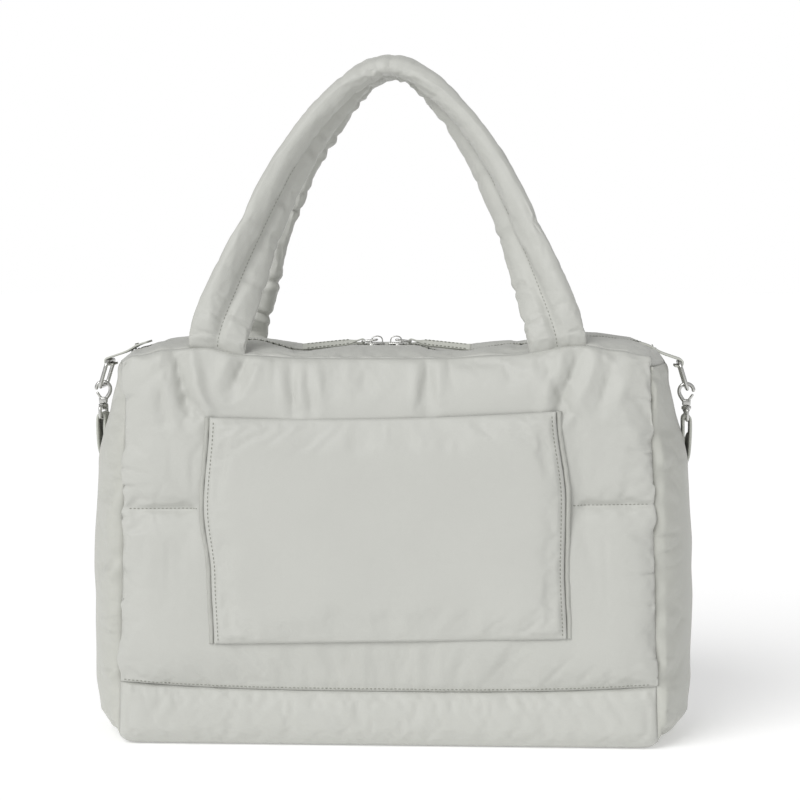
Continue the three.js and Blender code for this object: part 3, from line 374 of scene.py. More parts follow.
def way_along(path):
    """Way along a path up to each of its points."""
    return np.concatenate([[0], np.cumsum(np.linalg.norm(np.diff(path, axis=0), axis=1))])


def fold_depth(x, z, folds):
    """Depth of pressed folds, each a line with a soft shoulder beside it."""
    depth = np.zeros_like(x)
    for from_x, from_z, to_x, to_z, half_width, deep in folds:
        run_x, run_z = to_x - from_x, to_z - from_z
        length = run_x * run_x + run_z * run_z
        share = np.clip(((x - from_x) * run_x + (z - from_z) * run_z) / length, 0.0, 1.0)
        miss = np.hypot(x - from_x - run_x * share, z - from_z - run_z * share)
        taper = 0.35 + 0.65 * np.sin(np.pi * np.clip(share, 0.08, 0.92))
        shoulder = 0.45 * np.exp(-(((miss - 2.3 * half_width) / half_width) ** 2))
        depth += 2.2 * deep * taper * (np.exp(-1.3 * miss / half_width) - shoulder)
    return depth


# Outline of the bag


def seam_half_width(height):
    return (SEAM_WIDTH_BOTTOM + (SEAM_WIDTH_TOP - SEAM_WIDTH_BOTTOM) * height / SEAM_HEIGHT) / 2


def top_seam(across):
    return SEAM_HEIGHT * (1 + read_table(TOP_SEAM_LINE, across))


def zipper_height(across):
    return SEAM_HEIGHT * (1 + read_table(ZIPPER_LINE, across))


def base_seam(across):
    return BASE_SEAM * (1 + 0.14 * np.abs(across) ** 3)


END_HEIGHT = float(top_seam(1.0))


def top_end_x(depth_share):
    return seam_half_width(END_HEIGHT) + TOP_END_BULGE * (1 - depth_share * depth_share)


def gusset_x(depth_share, height):
    up = (height - BASE_PUFF) / (END_HEIGHT - BASE_PUFF)
    round_out = np.clip(1 - depth_share * depth_share, 0.0, 1.0)
    bulge = SIDE_BULGE * read_table(GUSSET_BULGE, np.clip(up, 0.0, 1.0)) * round_out ** 0.6
    at_top = TOP_END_BULGE * round_out
    return seam_half_width(height) + bulge + (at_top - bulge) * ease((up - 0.8) / 0.2)


def smooth_line(points, shares):
    """Places on a centripetal curve through the points, at shares of its length from 0 to 1."""
    points = np.asarray(points, float)
    last = len(points) - 1
    padded_ends = np.vstack([2 * points[0] - points[1], points, 2 * points[-1] - points[-2]])
    places = []
    for share in shares:
        row = min(int(share * last), last - 1)
        part = share * last - row
        p0, p1, p2, p3 = padded_ends[row:row + 4]
        gap0 = max(np.linalg.norm(p1 - p0) ** 0.5, 1e-6)
        gap1 = max(np.linalg.norm(p2 - p1) ** 0.5, 1e-6)
        gap2 = max(np.linalg.norm(p3 - p2) ** 0.5, 1e-6)
        start = ((p1 - p0) / gap0 - (p2 - p0) / (gap0 + gap1) + (p2 - p1) / gap1) * gap1
        end = ((p2 - p1) / gap1 - (p3 - p1) / (gap1 + gap2) + (p3 - p2) / gap2) * gap1
        square, cube = part * part, part ** 3
        places.append(
            p1 * (2 * cube - 3 * square + 1) + start * (cube - 2 * square + part)
            + p2 * (3 * square - 2 * cube) + end * (cube - square)
        )
    return np.array(places)


def line_directions(points, shares, step):
    """Directions of the smooth line through the points."""
    ahead = smooth_line(points, np.clip(shares + step, 0, 1))
    return unit(ahead - smooth_line(points, np.clip(shares - step, 0, 1)))


# Grids of points and the meshes made from them


def grid_faces(rows, columns, wraps=False):
    row = np.arange(rows - 1)[:, None] * columns
    column = np.arange(columns if wraps else columns - 1)[None, :]
    after = (column + 1) % columns
    corners = [row + column, row + after, row + columns + after, row + columns + column]
    return np.stack(np.broadcast_arrays(*corners), -1).reshape(-1, 4)


def capped_tube(rings, sides):
    """Faces of a tube made of rings, with both of its ends filled."""
    faces = grid_faces(rings, sides, True).tolist()
    faces.append(list(range(sides - 1, -1, -1)))
    faces.append([(rings - 1) * sides + corner for corner in range(sides)])
    return faces


def thinned(grid):
    """The places of a fine skin that its plain inner skin keeps."""
    return grid[::SKIN_STEP, ::SKIN_STEP].copy()


def edge_pins(grid):
    """True on the four edges of a grid, where a skin is sewn."""
    pinned = np.zeros(grid.shape[:2], bool)
    pinned[0] = pinned[-1] = pinned[:, 0] = pinned[:, -1] = True
    return pinned


def drawn_in(share, power=12):
    """How far an inner skin stays back from the seams at the shares -1 and 1."""
    return SEAM_WALL * np.sign(share) * np.abs(share) ** power


def refined(grid, wraps=False):
    """The grid with its steps halved on a smooth curve."""

    def halve(values, closed):
        if closed:
            before = np.roll(values, 1, 0)
            after = np.roll(values, -1, 0)
            far = np.roll(values, -2, 0)
            middle = (9 * (values + after) - before - far) / 16
            return np.stack([values, middle], 1).reshape(-1, *values.shape[1:])
        ends = np.concatenate([2 * values[:1] - values[1:2], values, 2 * values[-1:] - values[-2:-1]])
        middle = (9 * (ends[1:-2] + ends[2:-1]) - ends[:-3] - ends[3:]) / 16
        joined = np.empty((2 * len(values) - 1, *values.shape[1:]))
        joined[0::2] = values
        joined[1::2] = middle
        return joined

    return halve(halve(grid, False).swapaxes(0, 1), wraps).swapaxes(0, 1)


def grid_normals(grid, wraps=False):
    down = np.gradient(grid, axis=0)
    if wraps:
        along = np.roll(grid, -1, 1) - np.roll(grid, 1, 1)
    else:
        along = np.gradient(grid, axis=1)
    return unit(np.cross(along, down))


def puffed(grid, pinned, pressure, spare, cap, wraps=False, inwards=False, steps=16):
    """Lets a skin of cloth settle over its filling between the seams, and gives back its grid."""
    scene = bpy.context.scene
    rows, columns = grid.shape[:2]
    faces = grid_faces(rows, columns, wraps)
    mesh = bpy.data.meshes.new("settling_cloth")
    mesh.from_pydata(grid.reshape(-1, 3).tolist(), [], (faces[:, ::-1] if inwards else faces).tolist())
    cloth = bpy.data.objects.new("settling_cloth", mesh)
    scene.collection.objects.link(cloth)
    seams = cloth.vertex_groups.new(name="seams")
    seams.add(np.flatnonzero(pinned.ravel()).tolist(), 1.0, "REPLACE")
    modifier = cloth.modifiers.new("Cloth", "CLOTH")
    settings = modifier.settings
    settings.quality = 5
    settings.mass = 0.003
    settings.vertex_group_mass = "seams"
    settings.shrink_min = -spare
    settings.use_pressure = True
    settings.uniform_pressure_force = pressure
    settings.effector_weights.gravity = 0
    settings.tension_stiffness = 15
    settings.compression_stiffness = 15
    settings.shear_stiffness = 5
    settings.bending_stiffness = 0.05
    modifier.collision_settings.use_collision = False
    modifier.point_cache.frame_start = 1
    modifier.point_cache.frame_end = steps
    for step in range(1, steps + 1):
        scene.frame_set(step)
    settled = cloth.evaluated_get(bpy.context.evaluated_depsgraph_get())
    shape = np.empty(rows * columns * 3)
    settled.to_mesh().vertices.foreach_get("co", shape)
    settled.to_mesh_clear()
    moved = shape.reshape(grid.shape) - grid
    length = np.maximum(np.linalg.norm(moved, axis=-1, keepdims=True), 1e-9)
    bpy.data.objects.remove(cloth)
    bpy.data.meshes.remove(mesh)
    scene.frame_set(1)
    return grid + moved / length * cap * np.tanh(length / cap)


def dressed(piece, slot, *nodes):
    """Hides the frame's nodes that a piece stands for, and gives back the piece. The slot is not used."""
    if nodes:
        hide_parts(*nodes)
    return piece


def make_piece(name, points, faces, material, uv=None, body="bag", outwards=False):
    """A smooth mesh piece in the row's frame. The points are in the bag's own frame."""
    points = np.asarray(points, float).reshape(-1, 3) + (0, BAG_MIDDLE_Y, 0)
    mesh = bpy.data.meshes.new(name)
    mesh.from_pydata(points.tolist(), [], [tuple(face) for face in faces])
    if uv is not None:
        layer = mesh.uv_layers.new(name="cloth")
        corners = np.empty(len(mesh.loops), int)
        mesh.loops.foreach_get("vertex_index", corners)
        layer.data.foreach_set("uv", np.asarray(uv, float).reshape(-1, 2)[corners].ravel())
    if outwards:
        surface = bmesh.new()
        surface.from_mesh(mesh)
        bmesh.ops.recalc_face_normals(surface, faces=surface.faces)
        surface.to_mesh(mesh)
        surface.free()
    mesh.shade_smooth()
    mesh.materials.append(material)
    piece = bpy.data.objects.new(name, mesh)
    bpy.context.scene.collection.objects.link(piece)
    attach(piece, body)
    return piece


def padded_piece(name, outer, inner, uv, material, slot, node):
    """A padded wall: a fine outer skin, a plain inner skin and the seam edges between them."""
    rows, columns = outer.shape[:2]
    inner_rows, inner_columns = inner.shape[:2]
    start = rows * columns
    faces = grid_faces(rows, columns).tolist()
    faces += (grid_faces(inner_rows, inner_columns)[:, ::-1] + start).tolist()
    for near, far in ((0, 0), (rows - 1, inner_rows - 1)):
        for place in range(inner_columns - 1):
            edge = [near * columns + place * SKIN_STEP + part for part in range(SKIN_STEP, -1, -1)]
            back = start + far * inner_columns + place
            faces.append(edge + [back, back + 1])
    for near, far in ((0, 0), (columns - 1, inner_columns - 1)):
        for place in range(inner_rows - 1):
            edge = [(place * SKIN_STEP + part) * columns + near for part in range(SKIN_STEP, -1, -1)]
            back = start + place * inner_columns + far
            faces.append(edge + [back, back + inner_columns])
    points = np.vstack([outer.reshape(-1, 3), inner.reshape(-1, 3)])
    cloth_uv = np.vstack([uv.reshape(-1, 2), thinned(uv).reshape(-1, 2)])
    piece = dressed(make_piece(name, points, faces, material, cloth_uv, outwards=True), slot, node)


def tube_piece(name, path, radius, material, slot, node, sides, closed=False, body="bag", up=(0, 1, 0)):
    """A round tube along a path of points."""
    points, faces = tube_mesh(path, radius, sides, closed, up=up)
    dressed(make_piece(name, points, faces, material, body=body, outwards=True), slot, node)


def tube_mesh(path, radius, sides, closed=False, flat=1.0, up=(0, 1, 0)):
    """Points and faces of a round or flattened tube along a path."""
    path = np.asarray(path, float)
    count = len(path)
    if closed:
        along = np.roll(path, -1, 0) - np.roll(path, 1, 0)
    else:
        along = np.gradient(path, axis=0)
    along = unit(along)
    side = unit(np.cross(along, np.asarray(up, float)))
    rise = np.cross(side, along)
    turn = np.arange(sides) * 2 * math.pi / sides
    radius = np.broadcast_to(np.asarray(radius, float).reshape(-1, 1, 1), (count, 1, 1))
    sideways = np.cos(turn)[None, :, None] * side[:, None, :]
    upwards = flat * np.sin(turn)[None, :, None] * rise[:, None, :]
    points = (path[:, None, :] + radius * (sideways + upwards)).reshape(-1, 3)
    if closed:
        faces = grid_faces(count + 1, sides, True) % (count * sides)
        return points, faces.tolist()
    return points, capped_tube(count, sides)


def joined_meshes(parts):
    points = []
    faces = []
    start = 0
    for part_points, part_faces in parts:
        points.append(np.asarray(part_points, float).reshape(-1, 3))
        faces += [[corner + start for corner in face] for face in part_faces]
        start += len(points[-1])
    return np.vstack(points), faces


def rounded_box(centre, size, bevel, segments=3):
    """Points and faces of a box with rounded edges."""
    box = bmesh.new()
    bmesh.ops.create_cube(box, size=1.0)
    bmesh.ops.scale(box, vec=Vector(size), verts=box.verts)
    bmesh.ops.bevel(
        box, geom=box.edges[:], offset=bevel, segments=segments, profile=0.5, affect="EDGES",
    )
    bmesh.ops.translate(box, vec=Vector(centre), verts=box.verts)
    box.verts.index_update()
    points = [tuple(vertex.co) for vertex in box.verts]
    faces = [[vertex.index for vertex in face.verts] for face in box.faces]
    box.free()
    return points, faces


def lathe(profile, segments=24):
    """Points and faces of a profile of (radius, height) turned about an upright axis."""
    turn = np.arange(segments) * 2 * math.pi / segments
    points = [(0, 0, profile[0][1])]
    for radius, height in profile:
        points += [(radius * math.cos(a), radius * math.sin(a), height) for a in turn]
    points.append((0, 0, profile[-1][1]))
    faces = (grid_faces(len(profile), segments, True) + 1).tolist()
    end = len(points) - 1
    last = 1 + (len(profile) - 1) * segments
    for corner in range(segments):
        after = (corner + 1) % segments
        faces.append([0, 1 + after, 1 + corner])
        faces.append([end, last + corner, last + after])
    return np.array(points), faces


def rounded_loop(length, width, corner, first, second, steps=8):
    """Closed path of a rounded rectangle, with its length along first and its width along second."""
    path = []
    for sign_x, sign_y, start in ((1, 1, 0), (-1, 1, 90), (-1, -1, 180), (1, -1, 270)):
        for step in range(steps + 1):
            turn = math.radians(start + 90 * step / steps)
            x = sign_x * (length / 2 - corner) + corner * math.cos(turn)
            y = sign_y * (width / 2 - corner) + corner * math.sin(turn)
            path.append(x * np.asarray(first, float) + y * np.asarray(second, float))
    return np.array(path)


# Finishes


def plug(tree, target, value):
    """Links a socket to a target socket, or sets its plain value."""
    if isinstance(value, bpy.types.NodeSocket):
        tree.links.new(value, target)
    else:
        target.default_value = value


def maths(tree, operation, first, second=0.0):
    node = tree.nodes.new("ShaderNodeMath")
    node.operation = operation
    plug(tree, node.inputs[0], first)
    plug(tree, node.inputs[1], second)
    return node.outputs[0]


def noise_node(tree, place, scale, detail):
    node = tree.nodes.new("ShaderNodeTexNoise")
    tree.links.new(place, node.inputs["Vector"])
    plug(tree, node.inputs["Scale"], scale)
    node.inputs["Detail"].default_value = detail
    return node.outputs["Fac"]


def new_group(name, inputs, outputs):
    group = bpy.data.node_groups.new(name, "ShaderNodeTree")
    for label, kind, value in inputs:
        socket = group.interface.new_socket(name=label, in_out="INPUT", socket_type=kind)
        if value is not None:
            socket.default_value = value
    for label, kind in outputs:
        group.interface.new_socket(name=label, in_out="OUTPUT", socket_type=kind)
    return group, group.nodes.new("NodeGroupInput"), group.nodes.new("NodeGroupOutput")


def weave_group():
    """Threads that pass over and under each other; Shade adds their random unevenness to painted shade,
    darker where the threads dip.
    """
    if "woven threads" in bpy.data.node_groups:
        return bpy.data.node_groups["woven threads"]
    group, given, result = new_group(
        "woven threads",
        [("Place", "NodeSocketVector", None), ("Pitch", "NodeSocketFloat", 0.001)],
        [("Height", "NodeSocketFloat"), ("Shade", "NodeSocketFloat")],
    )
    axes = group.nodes.new("ShaderNodeSeparateXYZ")
    group.links.new(given.outputs["Place"], axes.inputs[0])
    threads = [maths(group, "DIVIDE", axes.outputs[axis], given.outputs["Pitch"]) for axis in (0, 1)]
    rounds = [
        maths(group, "ABSOLUTE", maths(group, "SINE", maths(group, "MULTIPLY", thread, math.pi)))
        for thread in threads
    ]
    cells = [maths(group, "FLOOR", thread) for thread in threads]
    over = maths(group, "PINGPONG", maths(group, "ADD", *cells), 1.0)
    under = maths(group, "SUBTRACT", 1.0, over)
    height = maths(
        group, "ADD", maths(group, "MULTIPLY", rounds[0], over), maths(group, "MULTIPLY", rounds[1], under)
    )
    group.links.new(height, result.inputs["Height"])
    scale = maths(group, "DIVIDE", 0.22, given.outputs["Pitch"])
    uneven = noise_node(group, given.outputs["Place"], scale, 2.0)
    # Shade: random unevenness plus painted shade that darkens the low places between the threads.
    shade = maths(group, "MULTIPLY", maths(group, "ADD", uneven, height), 0.5)
    group.links.new(shade, result.inputs["Shade"])
    return group


def crinkle_group():
    """Small crinkles of light cloth, and slow changes of its tone."""
    if "cloth crinkle" in bpy.data.node_groups:
        return bpy.data.node_groups["cloth crinkle"]
    group, given, result = new_group(
        "cloth crinkle",
        [("Place", "NodeSocketVector", None), ("Size", "NodeSocketFloat", 0.01)],
        [("Height", "NodeSocketFloat"), ("Tone", "NodeSocketFloat")],
    )
    coarse = maths(group, "DIVIDE", 1.0, given.outputs["Size"])
    broad = noise_node(group, given.outputs["Place"], coarse, 1.0)
    fine = noise_node(group, given.outputs["Place"], maths(group, "MULTIPLY", coarse, 2.7), 2.0)
    ridge = maths(group, "ABSOLUTE", maths(group, "SUBTRACT", broad, 0.5))
    ridges = maths(group, "MULTIPLY", ridge, 1.6)
    height = maths(group, "ADD", ridges, maths(group, "MULTIPLY", fine, 0.35))
    group.links.new(height, result.inputs["Height"])
    tone = noise_node(group, given.outputs["Place"], maths(group, "MULTIPLY", coarse, 0.22), 3.0)
    group.links.new(tone, result.inputs["Tone"])
    return group


def metal_wear_group():
    """Fine handling marks of polished metal."""
    if "handled metal" in bpy.data.node_groups:
        return bpy.data.node_groups["handled metal"]
    group, given, result = new_group(
        "handled metal",
        [("Place", "NodeSocketVector", None), ("Size", "NodeSocketFloat", 0.002)],
        [("Marks", "NodeSocketFloat"), ("Height", "NodeSocketFloat")],
    )
    scale = maths(group, "DIVIDE", 1.0, given.outputs["Size"])
    marks = noise_node(group, given.outputs["Place"], scale, 4.0)
    group.links.new(marks, result.inputs["Marks"])
    grain = noise_node(group, given.outputs["Place"], maths(group, "MULTIPLY", scale, 4.0), 2.0)
    group.links.new(grain, result.inputs["Height"])
    return group


def placed_group(tree, group, place, **values):
    node = tree.nodes.new("ShaderNodeGroup")
    node.node_tree = group
    tree.links.new(place, node.inputs["Place"])
    for label, value in values.items():
        node.inputs[label].default_value = value
    return node


def mixed(tree, first, second, share):
    node = tree.nodes.new("ShaderNodeMix")
    node.data_type = "RGBA"
    plug(tree, node.inputs["Factor"], share)
    plug(tree, node.inputs["A"], first)
    plug(tree, node.inputs["B"], second)
    return node.outputs["Result"]


def ranged(tree, value, low, high):
    node = tree.nodes.new("ShaderNodeMapRange")
    tree.links.new(value, node.inputs["Value"])
    node.inputs["From Min"].default_value = 0.25
    node.inputs["From Max"].default_value = 0.75
    node.inputs["To Min"].default_value = low
    node.inputs["To Max"].default_value = high
    return node.outputs["Result"]


def add_bump(tree, shader, height):
    bump = tree.nodes.new("ShaderNodeBump")
    bump.inputs["Distance"].default_value = 1.0
    tree.links.new(height, bump.inputs["Height"])
    tree.links.new(bump.outputs["Normal"], shader.inputs["Normal"])


def shaded(colour, factor):
    return (*[channel * factor for channel in colour], 1.0)


def cloth_material(
    name, colour, weave, weave_depth, crinkle, crinkle_depth, roughness, sheen, on_uv=True, contrast=0.1,
):
    """Woven cloth with crinkles, uneven tone, painted shade between its threads and a faint sheen."""
    if name in bpy.data.materials:
        return bpy.data.materials[name]
    material = bpy.data.materials.new(name)
    material.use_nodes = True
    tree = material.node_tree
    shader = tree.nodes["Principled BSDF"]
    place = tree.nodes.new("ShaderNodeTexCoord")
    flat = place.outputs["UV"] if on_uv else place.outputs["Object"]
    threads = placed_group(tree, weave_group(), flat, Pitch=weave)
    crinkles = placed_group(tree, crinkle_group(), place.outputs["Object"], Size=crinkle)
    slow = crinkles.outputs["Tone"]
    tone = mixed(tree, shaded(colour, 1 - contrast * 0.5), shaded(colour, 1 + contrast * 0.35), slow)
    # Painted shade between the threads, mixed with the cloth's random tone.
    thread_shade_and_tone = mixed(tree, shaded(colour, 1 - contrast), tone, ranged(tree, threads.outputs["Shade"], 0.55, 1.0))
    tree.links.new(thread_shade_and_tone, shader.inputs["Base Color"])
    tree.links.new(ranged(tree, slow, roughness - 0.05, roughness + 0.05), shader.inputs["Roughness"])
    shader.inputs["Sheen Weight"].default_value = sheen
    shader.inputs["Sheen Roughness"].default_value = 0.45
    shader.inputs["Specular IOR Level"].default_value = 0.35
    relief = maths(
        tree, "ADD",
        maths(tree, "MULTIPLY", threads.outputs["Height"], weave_depth),
        maths(tree, "MULTIPLY", crinkles.outputs["Height"], crinkle_depth),
    )
    add_bump(tree, shader, relief)
    return material


def metal_material(name, colour, roughness):
    if name in bpy.data.materials:
        return bpy.data.materials[name]
    material = bpy.data.materials.new(name)
    material.use_nodes = True
    tree = material.node_tree
    shader = tree.nodes["Principled BSDF"]
    place = tree.nodes.new("ShaderNodeTexCoord")
    wear = placed_group(tree, metal_wear_group(), place.outputs["Object"], Size=0.0025)
    marks = wear.outputs["Marks"]
    tree.links.new(mixed(tree, shaded(colour, 0.9), shaded(colour, 1.04), marks), shader.inputs["Base Color"])
    tree.links.new(ranged(tree, marks, roughness - 0.06, roughness + 0.1), shader.inputs["Roughness"])
    shader.inputs["Metallic"].default_value = 1.0
    add_bump(tree, shader, maths(tree, "MULTIPLY", wear.outputs["Height"], 0.00002))
    return material


def finishes(context):
    """The tote's materials by name."""
    sizes, colours = context.scene.tote_sizes, context.scene.tote_colours
    nylon, webbing = sizes.nylon_weave, sizes.webbing_weave
    return {
        "nylon": cloth_material("padded nylon", colours.nylon, nylon, 0.00002, 0.012, 0.00022, 0.48, 0.12),
        # The gussets' nylon, darker and yellower than the panels' nylon as painted shade.
        "nylon_side": cloth_material(
            "gusset nylon", colours.nylon_side, nylon, 0.00002, 0.012, 0.00022, 0.48, 0.12
        ),
        "binding": cloth_material(
            "binding tape", colours.binding, 0.0008, 0.00012, 0.008, 0.0001, 0.7, 0.15,
            on_uv=False, contrast=0.2
        ),
        "zipper_tape": cloth_material(
            "zipper tape", colours.zipper, 0.0007, 0.00015, 0.008, 0.00005, 0.8, 0.1,
            on_uv=False, contrast=0.3
        ),
        "coil": cloth_material(
            "coil nylon", colours.zipper, 0.0006, 0.00001, 0.006, 0.00002, 0.42, 0.0,
            on_uv=False, contrast=0.15
        ),
        # Webbing darker than the nylon as painted shade.
        "webbing": cloth_material(
            "webbing", colours.webbing, webbing, 0.0003, 0.01, 0.0001, 0.75, 0.15, contrast=0.3
        ),
        "thread": cloth_material(
            "sewing thread", colours.thread, 0.0004, 0.00004, 0.004, 0.00001, 0.6, 0.1,
            on_uv=False, contrast=0.2
        ),
        "metal": metal_material("silver metal", colours.metal, 0.24),
    }


# Stitches


def stitches_on(path, normals, sizes):
    """Points and faces of a run of stitches laid on a line, half sunk in the cloth."""
    path, normals = np.asarray(path, float), np.asarray(normals, float)
    travelled = way_along(path)
    count = int(travelled[-1] / sizes.stitch_pitch)
    turn = np.arange(6) * math.pi / 3
    # Rings of one stitch: place along it, width and height, as shares of its length and of the thread
    rings = [(-0.48, 0.35, -0.35), (-0.3, 0.85, 0.0), (0.0, 1.0, 0.15), (0.3, 0.85, 0.0), (0.48, 0.35, -0.35)]
    faces = capped_tube(len(rings), len(turn))
    parts = []
    for number in range(count):
        at = (number + 0.5) * sizes.stitch_pitch
        ends = [
            np.array([np.interp(at + reach, travelled, values[:, axis]) for axis in range(3)])
            for values in (path, normals) for reach in (-sizes.stitch_length / 2, sizes.stitch_length / 2)
        ]
        along = unit(ends[1] - ends[0])
        rise = ends[2] + ends[3]
        rise = unit(rise - along * (rise @ along))
        side = np.cross(along, rise)
        middle = (ends[0] + ends[1]) / 2
        points = []
        for reach, wide, high in rings:
            centre = middle + along * reach * sizes.stitch_length + rise * high * sizes.thread_width
            radius = wide * sizes.thread_width / 2
            points += [centre + (side * math.cos(angle) + rise * math.sin(angle)) * radius for angle in turn]
        parts.append((points, faces))
    return joined_meshes(parts)


def stitched_piece(name, runs, context, slot="nylon", body="bag"):
    """One piece of thread along several runs, each a path with its surface normals."""
    sizes = context.scene.tote_sizes
    points, faces = joined_meshes([stitches_on(path, normals, sizes) for path, normals in runs])
    dressed(make_piece(name, points, faces, finishes(context)["thread"], body=body, outwards=True), slot)


def laid_on(piece_name, starts, direction):
    """Where straight lines from the starts meet a piece, with the surface's normals there."""
    piece = bpy.data.objects[piece_name]
    corners = [vertex.co[:] for vertex in piece.data.vertices]
    tree = BVHTree.FromPolygons(corners, [face.vertices[:] for face in piece.data.polygons])
    places, normals = [], []
    for start in starts:
        spot, normal, _, _ = tree.ray_cast(Vector(start) + Vector((0, BAG_MIDDLE_Y, 0)), Vector(direction))
        if spot is None:
            continue
        if normal.dot(Vector(direction)) > 0:
            normal = -normal
        places.append((spot.x, spot.y - BAG_MIDDLE_Y, spot.z))
        normals.append(tuple(normal))
    if len(places) < 2:
        raise RuntimeError(f"no surface of {piece_name} lies along the stitched line")
    return np.array(places), np.array(normals)


class TOTE_OT_studio(Operator):
    """Camera, floor and soft studio light"""

    bl_idname = "tote.studio"
    bl_label = "Studio"

    def execute(self, context):
        scene = context.scene
        camera = bpy.data.objects.new("camera", bpy.data.cameras.new("camera"))
        scene.collection.objects.link(camera)
        scene.camera = camera
        azimuth, elevation, distance = math.radians(3.2), math.radians(4.0), 2.0
        target = Vector((0.0055, BAG_MIDDLE_Y, 0.260))
        level = math.cos(elevation)
        back = Vector((math.sin(azimuth) * level, -math.cos(azimuth) * level, math.sin(elevation)))
        camera.location = target + back * distance
        camera.rotation_euler = (-back).to_track_quat("-Z", "Y").to_euler()
        camera.data.sensor_width = SENSOR_WIDTH
        camera.data.lens = SENSOR_WIDTH * FOCAL_PIXELS / PICTURE_PIXELS
        camera.data.clip_start = 0.05
        camera.data.clip_end = 50.0
        camera.data.dof.use_dof = False
        scene.view_settings.view_transform = "Standard"
        scene.view_settings.look = "None"
        self.add_floor(context)
        self.add_lights(context)
        return {"FINISHED"}

    def add_floor(self, context):
        half = 12.0
        mesh = bpy.data.meshes.new("floor")
        corners = [(-half, -half, 0), (half, -half, 0), (half, half, 0), (-half, half, 0)]
        mesh.from_pydata(corners, [], [(0, 1, 2, 3)])
        floor = bpy.data.objects.new("floor", mesh)
        context.scene.collection.objects.link(floor)
        material = bpy.data.materials.new("studio floor")
        material.use_nodes = True
        tree = material.node_tree
        shader = tree.nodes["Principled BSDF"]
        place = tree.nodes.new("ShaderNodeTexCoord")
        grain = noise_node(tree, place.outputs["Object"], 60.0, 2.0)
        colour = context.scene.tote_colours.floor
        speckled = mixed(tree, shaded(colour, 0.995), shaded(colour, 1.0), grain)
        tree.links.new(speckled, shader.inputs["Base Color"])
        shader.inputs["Roughness"].default_value = 0.9
        shader.inputs["Specular IOR Level"].default_value = 0.1
        shader.inputs["Emission Color"].default_value = (1.0, 1.0, 1.0, 1.0)
        shader.inputs["Emission Strength"].default_value = 0.27
        mesh.materials.append(material)

    def add_lights(self, context):
        scene = context.scene
        world = bpy.data.worlds.new("studio")
        scene.world = world
        world.use_nodes = True
        tree = world.node_tree
        soft = tree.nodes["Background"]
        soft.inputs["Color"].default_value = (1.0, 1.0, 1.0, 1.0)
        soft.inputs["Strength"].default_value = 0.47
        seen = tree.nodes.new("ShaderNodeBackground")
        seen.inputs["Color"].default_value = (1.0, 1.0, 1.0, 1.0)
        seen.inputs["Strength"].default_value = 1.0
        path = tree.nodes.new("ShaderNodeLightPath")
        either = tree.nodes.new("ShaderNodeMixShader")
        tree.links.new(path.outputs["Is Camera Ray"], either.inputs["Fac"])
        tree.links.new(soft.outputs[0], either.inputs[1])
        tree.links.new(seen.outputs[0], either.inputs[2])
        tree.links.new(either.outputs[0], tree.nodes["World Output"].inputs["Surface"])
        for name, direction, strength, angle in (
            ("key light", (0.42, 0.74, -0.62), 1.9, 40),
            ("side light", (-1.0, 0.45, -0.3), 0.12, 60),
        ):
            light = bpy.data.lights.new(name, "SUN")
            light.energy = strength
            light.angle = math.radians(angle)
            lamp = bpy.data.objects.new(name, light)
            lamp.rotation_euler = Vector(direction).to_track_quat("-Z", "Y").to_euler()
            scene.collection.objects.link(lamp)


def strap_behind():
    """Places and turns of the shoulder strap behind the bag, from the right corner to the middle."""
    corner = RING_LOW[2] + EYE_BOTTOM - STRAP_TAIL - STRAP_SIDE_DROP
    rows = []
    for out, down, puff, turn in STRAP_BACK:
        height = corner + (STRAP_LOW - corner) * down
        place = (out * seam_half_width(height), HALF_DEPTH + BACK_PUFF * puff + STRAP_CLEAR, height)
        rows.append((place, turn))
    return rows


def press_under_strap(skin):
    """Presses the back's skin in where the shoulder strap lies on it."""
    right = [place for place, _ in strap_behind()]
    points = right + [(-x, y, z) for x, y, z in right[-2::-1]]
    nearest = np.ones(skin.shape[:2])
    limit = np.zeros(skin.shape[:2])
    for x, y, z in smooth_line(points, np.linspace(0, 1, 240)):
        away = np.hypot(skin[..., 0] - x, skin[..., 2] - z)
        nearer = away < nearest
        nearest[nearer] = away[nearer]
        limit[nearer] = y
    free = ease((nearest - WEBBING_WIDTH / 2 - SEAM_FADE) / STRAP_PRESS)
    past = np.maximum(skin[..., 1] - limit + STRAP_THICKNESS / 2 + CLEAR, 0)
    skin[..., 1] -= past * (1 - free)


